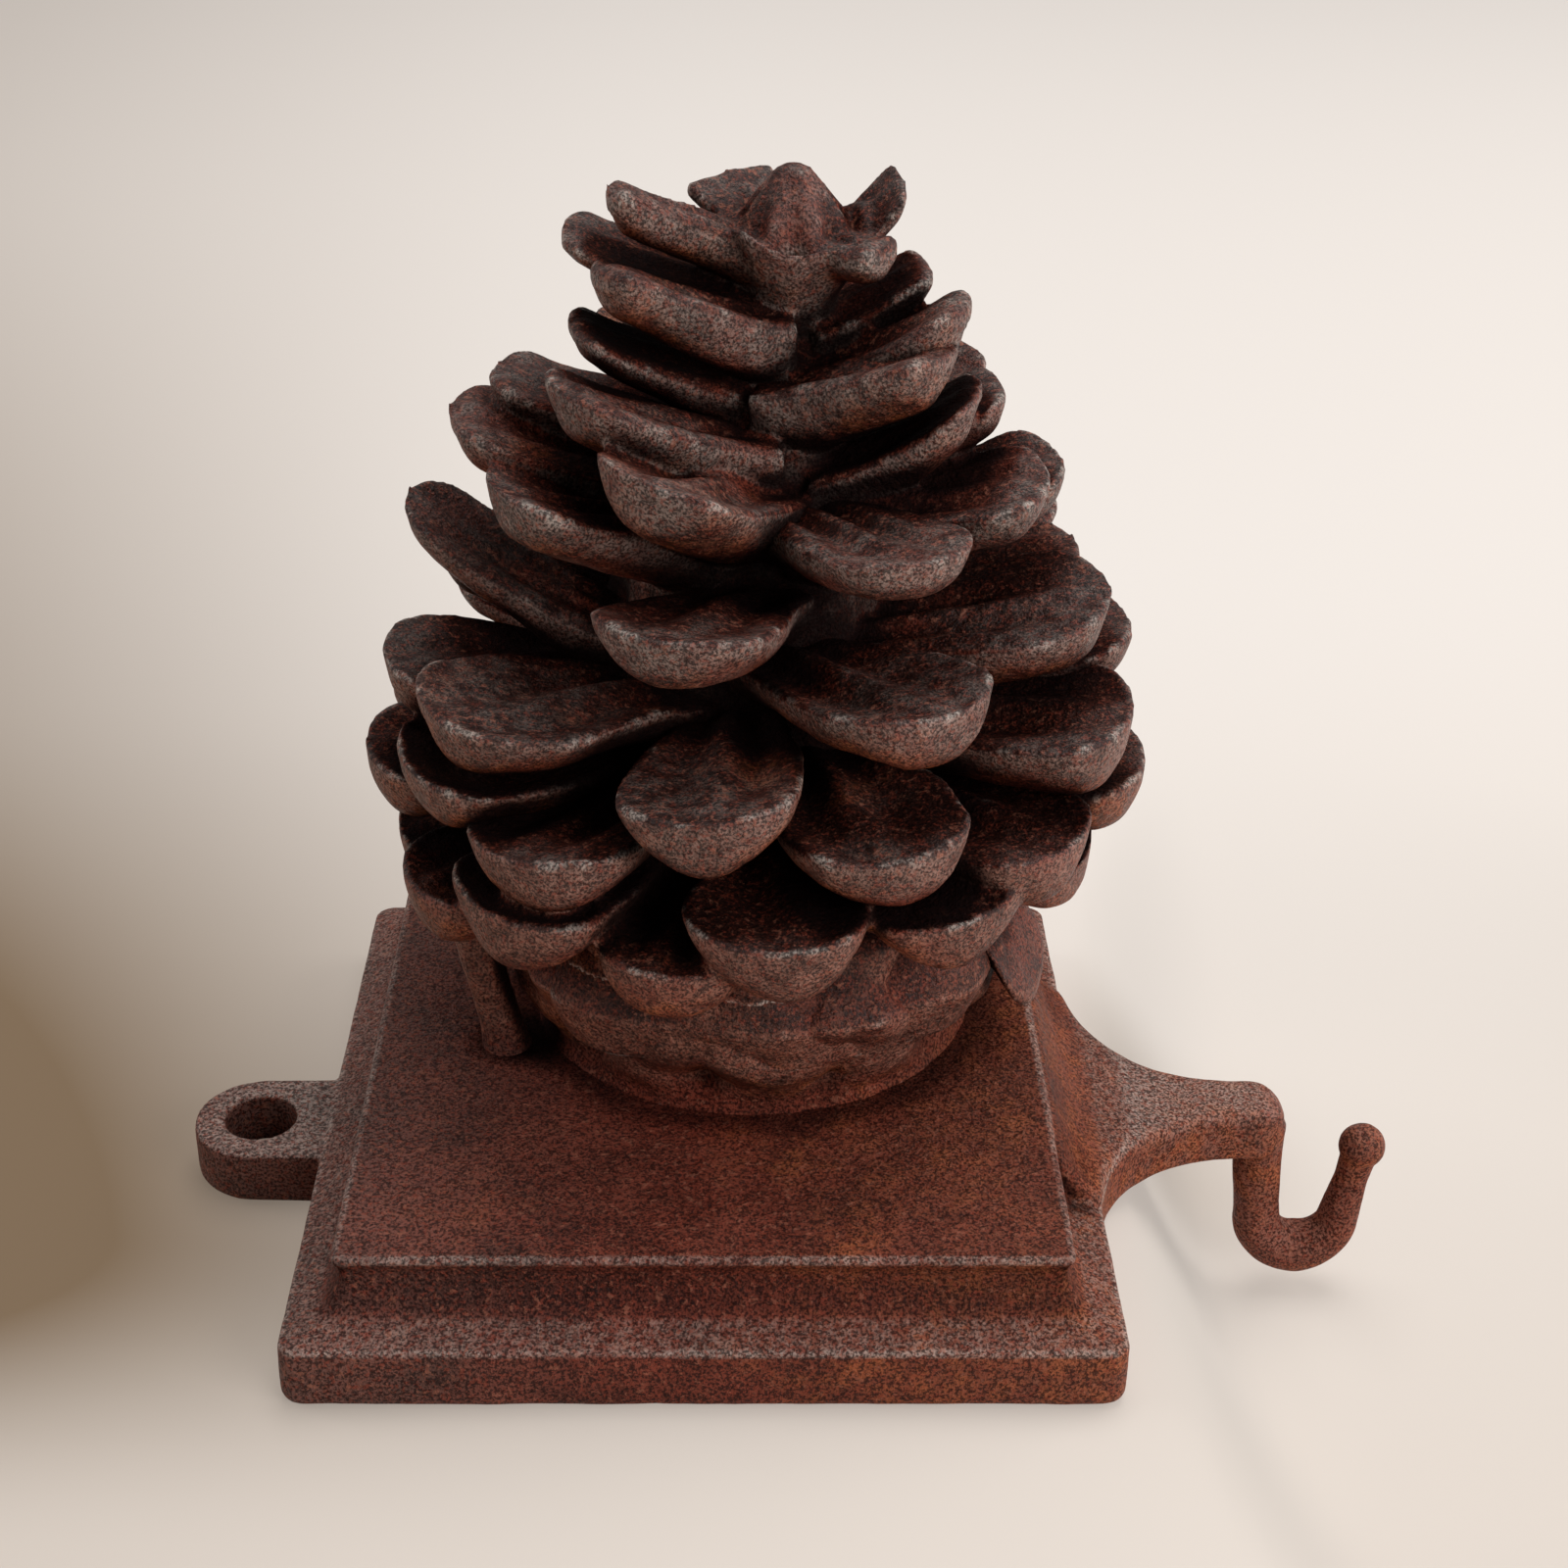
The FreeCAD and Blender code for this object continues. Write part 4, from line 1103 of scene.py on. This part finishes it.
@dataclass
class Studio:
    """Pale floor that dips below the hook, soft lamps and the camera of the photograph."""

    camera_place: tuple[float, float, float] = (3.6, -317.6, 238.64)
    pitch: float = 28.7
    focal: float = 2590.0
    frame: float = 1600.0
    middle_x: float = 745.0
    sensor: float = 36.0
    floor_colour: Colour = (0.785, 0.728, 0.680, 1.0)
    # darker tone for the painted shading near the front, then the colour of the painted shade and shadow
    floor_near: Colour = (0.730, 0.655, 0.590, 1.0)
    floor_shade: Colour = (0.215, 0.150, 0.095, 1.0)
    glow: float = 0.50
    dip: float = 27.0
    dip_place: Range = (98.0, 2.0)
    dip_rim: Range = (15.0, 38.0)
    drop: float = 0.12
    sky: Colour = (0.95, 0.93, 0.90, 1.0)
    sky_strength: float = 0.20
    target: tuple[float, float, float] = (0.0, 0.0, 0.08)
    lamps: tuple[SoftLamp, ...] = (
        SoftLamp("top", (0.15, 0.35, 1.20), 0.9, 10.8),
        SoftLamp("key", (0.85, -0.80, 0.55), 0.8, 10.6),
        SoftLamp("right", (1.10, 0.35, 0.50), 0.8, 6.4),
        SoftLamp("left", (-1.10, 0.10, 0.60), 0.8, 5.0),
    )

    def camera(self) -> None:
        """Camera at the photograph's place: lens and shift from the focal length in pixels."""
        data = bpy.data.cameras.new("camera")
        data.sensor_fit = "HORIZONTAL"
        data.sensor_width = self.sensor
        data.lens = self.focal / self.frame * self.sensor
        data.shift_x = (self.frame / 2 - self.middle_x) / self.frame
        data.clip_start = 0.01
        camera = placed("camera", data)
        camera.location = [value * MM for value in self.camera_place]
        camera.rotation_euler = (math.radians(90.0 - self.pitch), 0.0, 0.0)
        bpy.context.scene.camera = camera

    def floor_mesh(self) -> bpy.types.Mesh:
        """Wide floor: flat under the plinth, with a smooth hollow where the hook hangs lower."""
        near = np.linspace(-200, 260, 116)
        grown = 200 + 2800 * np.linspace(0, 1, 24)[1:] ** 2
        x = np.concatenate([-grown[::-1], near, 60 + grown])
        gx, gy = np.meshgrid(x, x - 30, indexing="ij")
        beside, behind = gx - self.dip_place[0], gy - self.dip_place[1]
        away = np.hypot(np.where(beside > 0, 0.25 * beside, beside), 0.28 * behind)
        gz = -self.dip * (1 - eased(away, *self.dip_rim)) - self.drop
        index = np.arange(gx.size).reshape(gx.shape)
        quads = np.stack([index[:-1, :-1], index[1:, :-1], index[1:, 1:], index[:-1, 1:]], -1).reshape(-1, 4)
        mesh = bpy.data.meshes.new("floor")
        points = np.stack([gx, gy, gz], -1).reshape(-1, 3) * MM
        mesh.from_pydata(points.tolist(), [], quads.tolist())
        mesh.polygons.foreach_set("use_smooth", np.ones(len(mesh.polygons), dtype=bool))
        return mesh

    def floor_material(self) -> bpy.types.Material:
        """Pale floor with painted shade to the left of the object, a painted shadow in a pool under the hook
        and painted shading that darkens it towards the front.

        Part of the colour is given as a glow that only the camera and mirrors see, so that the
        floor keeps its tone there; that part is taken out of the diffuse share.

        Returns:
            The material.
        """
        material = bpy.data.materials.new("pale_floor")
        sheet = NodeSheet(material)
        ramp, times, most = sheet.ramp, sheet.times, sheet.most
        across, deep, _ = sheet.axes()
        aside = sheet.step("DIVIDE", across, most(sheet.plus(deep, 0.33), 0.05))
        # painted shade on the floor to the left of the object
        far_shade = times(ramp(aside, 0.02, -0.50), ramp(deep, 0.60, 0.05, 0.50, 0.90))
        near_shade = times(ramp(aside, 0.20, -0.55), ramp(deep, 0.16, -0.02, 0.0, 0.62))
        shade = times(sheet.plus(far_shade, near_shade), ramp(deep, -0.085, -0.020, 0.14, 1.0),
                      ramp(across, -0.55, -0.30))
        # painted shadow in a pool under the hook
        pool = times(ramp(across, 0.050, 0.072), ramp(across, 0.112, 0.074), ramp(deep, -0.004, 0.026),
                     ramp(deep, 0.064, 0.030), 0.34)
        # painted shading: the floor darkens towards the front
        open_floor = sheet.mix(ramp(deep, 0.24, -0.08), self.floor_colour, self.floor_near)
        colour = sheet.mix(most(shade, pool), open_floor, self.floor_shade)
        rays = sheet.node("LightPath").outputs
        seen = most(most(rays["Is Camera Ray"], rays["Is Glossy Ray"]), rays["Is Transmission Ray"])
        share = times(seen, self.glow)
        level = sheet.node("CombineXYZ", Z=1.0).outputs[0]
        diffuse = sheet.node("BsdfDiffuse", Color=colour, Normal=level).outputs[0]
        black = sheet.node("BsdfDiffuse", Color=(0.0, 0.0, 0.0, 1.0)).outputs[0]
        glow = sheet.node("Emission", Color=colour, Strength=share).outputs[0]
        lit = sheet.node("MixShader", share, diffuse, black).outputs[0]
        both = sheet.node("AddShader", lit, glow).outputs[0]
        sheet.node("OutputMaterial", Surface=both)
        return material

    def floor(self) -> None:
        """The floor, outside the object."""
        floor = placed("floor", self.floor_mesh())
        floor.data.materials.append(self.floor_material())

    def light(self) -> None:
        """Large lamps above, in front on the right and at both sides, and a pale world all round."""
        for lamp in self.lamps:
            lamp.build(self.target)
        world = bpy.data.worlds.new("studio")
        world.use_nodes = True
        background = world.node_tree.nodes["Background"]
        background.inputs["Color"].default_value = self.sky
        background.inputs["Strength"].default_value = self.sky_strength
        bpy.context.scene.world = world

    def build(self) -> None:
        """Everything round the object."""
        self.camera()
        self.floor()
        self.light()
        bpy.context.scene.view_settings.view_transform = "Standard"


# narrow curled scales round the bud
CROWN = ScaleTier(0.95, Heel.FULL, (
    (-160, -140, 20.8, 131, 9, 7.5, 34, 0, -2),
    (179, 172, 26, 123, 15, 5, 26, -6),
    (10, 26, 20.6, 128.8, 12.5, 5.2, 37, 8, 0, 1, 2.1),
    (-28, -40, 19.5, 122.5, 9, 5.5, 6, 6),
    (108, 105, 14.5, 126.5, 15, 4.5, 30, 0, 0, 1, 2.1),
), widest=0.84, blunt=0.88, dish=0.45, soft=0.34)

# scales below the waist of the stem
UPPER = ScaleTier(0.92, Heel.DEEP, (
    (-145, -105, 25.5, 122.5, 13, 8, 31, 4),
    (-20, -60, 30, 117, 14, 8.5, 27),
    (5, 5, 24, 117.5, 14, 5.5, 24),
    (-165, -155, 26, 112.5, 16, 6, 26, -6),
    (100, 90, 27, 116, 17, 6, 26),
    (60, 60, 25, 115, 15, 5.5, 28),
    (145, 145, 25, 114, 15, 6, 28),
), widest=0.80, blunt=0.88, dish=0.35, soft=0.30)

# scales of the shoulder
SHOULDER = ScaleTier(0.86, Heel.DEEP, (
    (-140, -105, 34, 109, 18, 9, 28),
    (-36, -102, 31, 112, 17, 8.5, 22),
    (-174, -165, 42, 99.5, 23, 8.5, 19, -5),
    (172, 172, 37, 102, 20, 7, 18),
    (2, 0, 34.5, 101, 19, 7.5, 24),
    (-22, -55, 32.5, 105.5, 16, 8.5, 33, 5),
    (75, 75, 37, 103, 21, 7, 24),
    (118, 118, 36, 104, 21, 7, 24),
    (35, 35, 36, 101, 21, 7, 24),
), widest=0.76, blunt=0.86, dish=0.4, soft=0.22)

# scales of the upper body
MIDDLE = ScaleTier(0.76, Heel.DEEP, (
    (-146, -125, 42, 95.5, 20, 9, 22),
    (-112, -90, 39.5, 101.5, 21, 9.5, 24, -9),
    (-25, -70, 43, 93.5, 22, 9, 14, 3),
    (4, -10, 43, 90, 22, 9, 20),
    (-178, -150, 49, 86, 15, 8.5, 31, -6),
    (50, 50, 44, 89, 24, 8, 20),
    (95, 95, 45, 90, 25, 8, 20),
    (140, 140, 45, 87, 24, 8, 20),
), widest=0.72, blunt=0.84, dish=0.5, soft=0.13)

# broad scales of the body
LOWER = ScaleTier(0.66, Heel.FULL, (
    (-56, -95, 45, 91, 20, 8, 8, 3),
    (-12, -60, 50.5, 75.5, 25, 10.5, 14, 3),
    (-108, -85, 47, 83, 24, 9, 14, 5),
    (8, 0, 47, 75, 22, 9, 12),
    (4, 0, 55, 64, 25, 10, 9),
    (32, 30, 50, 76, 25, 9, 14),
    (72, 72, 51, 77, 26, 9, 14),
    (118, 118, 51, 75, 26, 9, 14),
    (160, 158, 48, 72, 23, 9, 14),
), soft=0.08)

# the widest scales
WIDE = ScaleTier(0.56, Heel.SLIM, (
    (-145, -118, 54.5, 67, 28, 10, 10),
    (-168, -168, 53.5, 64.5, 24, 9.5, 9),
    (-59, -95, 52.5, 73, 24, 11, 9, 3),
    (-24, -45, 57, 61.5, 28, 12, 7, 3),
    (-148, -138, 56, 56.5, 27, 9.5, 7),
    (-169, -169, 57, 50, 26, 11, 6),
    (-12, -12, 57.6, 48, 25, 11, 5),
    (50, 50, 56, 62, 27, 9.5, 9),
    (95, 95, 56, 62, 27, 9.5, 9),
    (138, 138, 56, 60, 27, 9.5, 9),
    (28, 28, 57.5, 51, 26, 9.5, 5),
    (72, 72, 57.5, 50, 26, 9.5, 5),
    (116, 116, 57.5, 50, 26, 9.5, 5),
    (160, 160, 57, 49, 26, 9.5, 5),
))

# scales that show their dished tops to the front
FRONT = ScaleTier(0.60, Heel.SLIM, (
    (-98, -98, 55, 61, 25, 10.5, 3, 4),
    (-68, -75, 56, 55, 25.5, 11, 2, 3),
    (-41, -45, 57, 48.5, 25, 11, 2, 4),
    (-126, -118, 57, 51.5, 25, 10.5, 3, 6),
))

# short scales that droop over the bowl
LOW = ScaleTier(0.62, Heel.SLIM, (
    (-86, -86, 57, 43.5, 24.5, 11.5, -2, 2),
    (-58, -58, 56, 43, 24.5, 11, -2, 6),
    (-128, -126, 57, 42, 26, 11.5, -2, 2),
    (-148, -148, 56, 37, 22, 11, -4),
    (-104, -103, 54, 37, 22, 11, -8, -3),
    (-172, -172, 53, 35, 24, 9.5, -4),
    (-24, -24, 52, 37, 24, 9.5, -4),
    *((turn, turn, 54, 36, 24, 9.5, -4) for turn in (12, 46, 80, 114)),
    (150, 150, 54, 35, 24, 9.5, -4),
))

# two thin scales that hang down between the low tier and the bowl
HANGING = ScaleTier(0.70, Heel.FULL, (
    (-20, -20, 45, 12, 20, 6.5, -58),
    (-150, -150, 37.5, 20, 18, 6, -40),
))


@dataclass
class PineCone:
    """The cone: stem, bud and the tiers of scales, in groups that are one piece of skin each."""

    stem: ConeStem = field(default_factory=ConeStem)
    bud: Bud = field(default_factory=Bud)
    strut: Strut = field(default_factory=Strut)

    def groups(self) -> list[tuple[str, list[Shell]]]:
        """Names and shells of the cone's pieces, from the top down."""
        stem = self.stem
        return [
            ("cone_crown", CROWN.shells(stem, 1) + UPPER.shells(stem, 2)
             + self.bud.shells(stem) + [stem.shell(92, 119)]),
            ("cone_shoulder", SHOULDER.shells(stem, 3) + MIDDLE.shells(stem, 4)
             + [stem.shell(66, 104)]),
            ("cone_body", LOWER.shells(stem, 5) + [stem.shell(44, 80)]),
            ("cone_wide", WIDE.shells(stem, 6) + [stem.shell(22, 62)]),
            ("cone_skirt", FRONT.shells(stem, 7) + LOW.shells(stem, 8) + [stem.shell(10, 50)]),
            ("cone_bowl", HANGING.shells(stem, 9) + [stem.bowl(), self.strut.shell()]),
        ]


def main() -> None:
    """Build the studio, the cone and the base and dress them."""
    logging.basicConfig(level=logging.INFO, format="%(message)s")
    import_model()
    Studio().build()
    arm = HookArm()
    groups = PineCone().groups()
    groups.append(("base", [Plinth().shell(), ScrewEar().shell()] + arm.shells()))
    material = RustedIron().material()
    readings = SurfaceReadings()
    for seed, (name, shells) in enumerate(groups, start=1):
        skin = BASE_SKIN if name == "base" else CONE_SKIN
        piece = skin.piece(name, shells, seed * 10)
        piece.data.materials.clear()
        piece.data.materials.append(material)
        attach(piece, BODY)
        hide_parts(NODE)
        readings.pieces.append(piece)
        log.info("%s: %d faces", name, len(piece.data.polygons))
    readings.write()


if __name__ == "__main__":
    main()
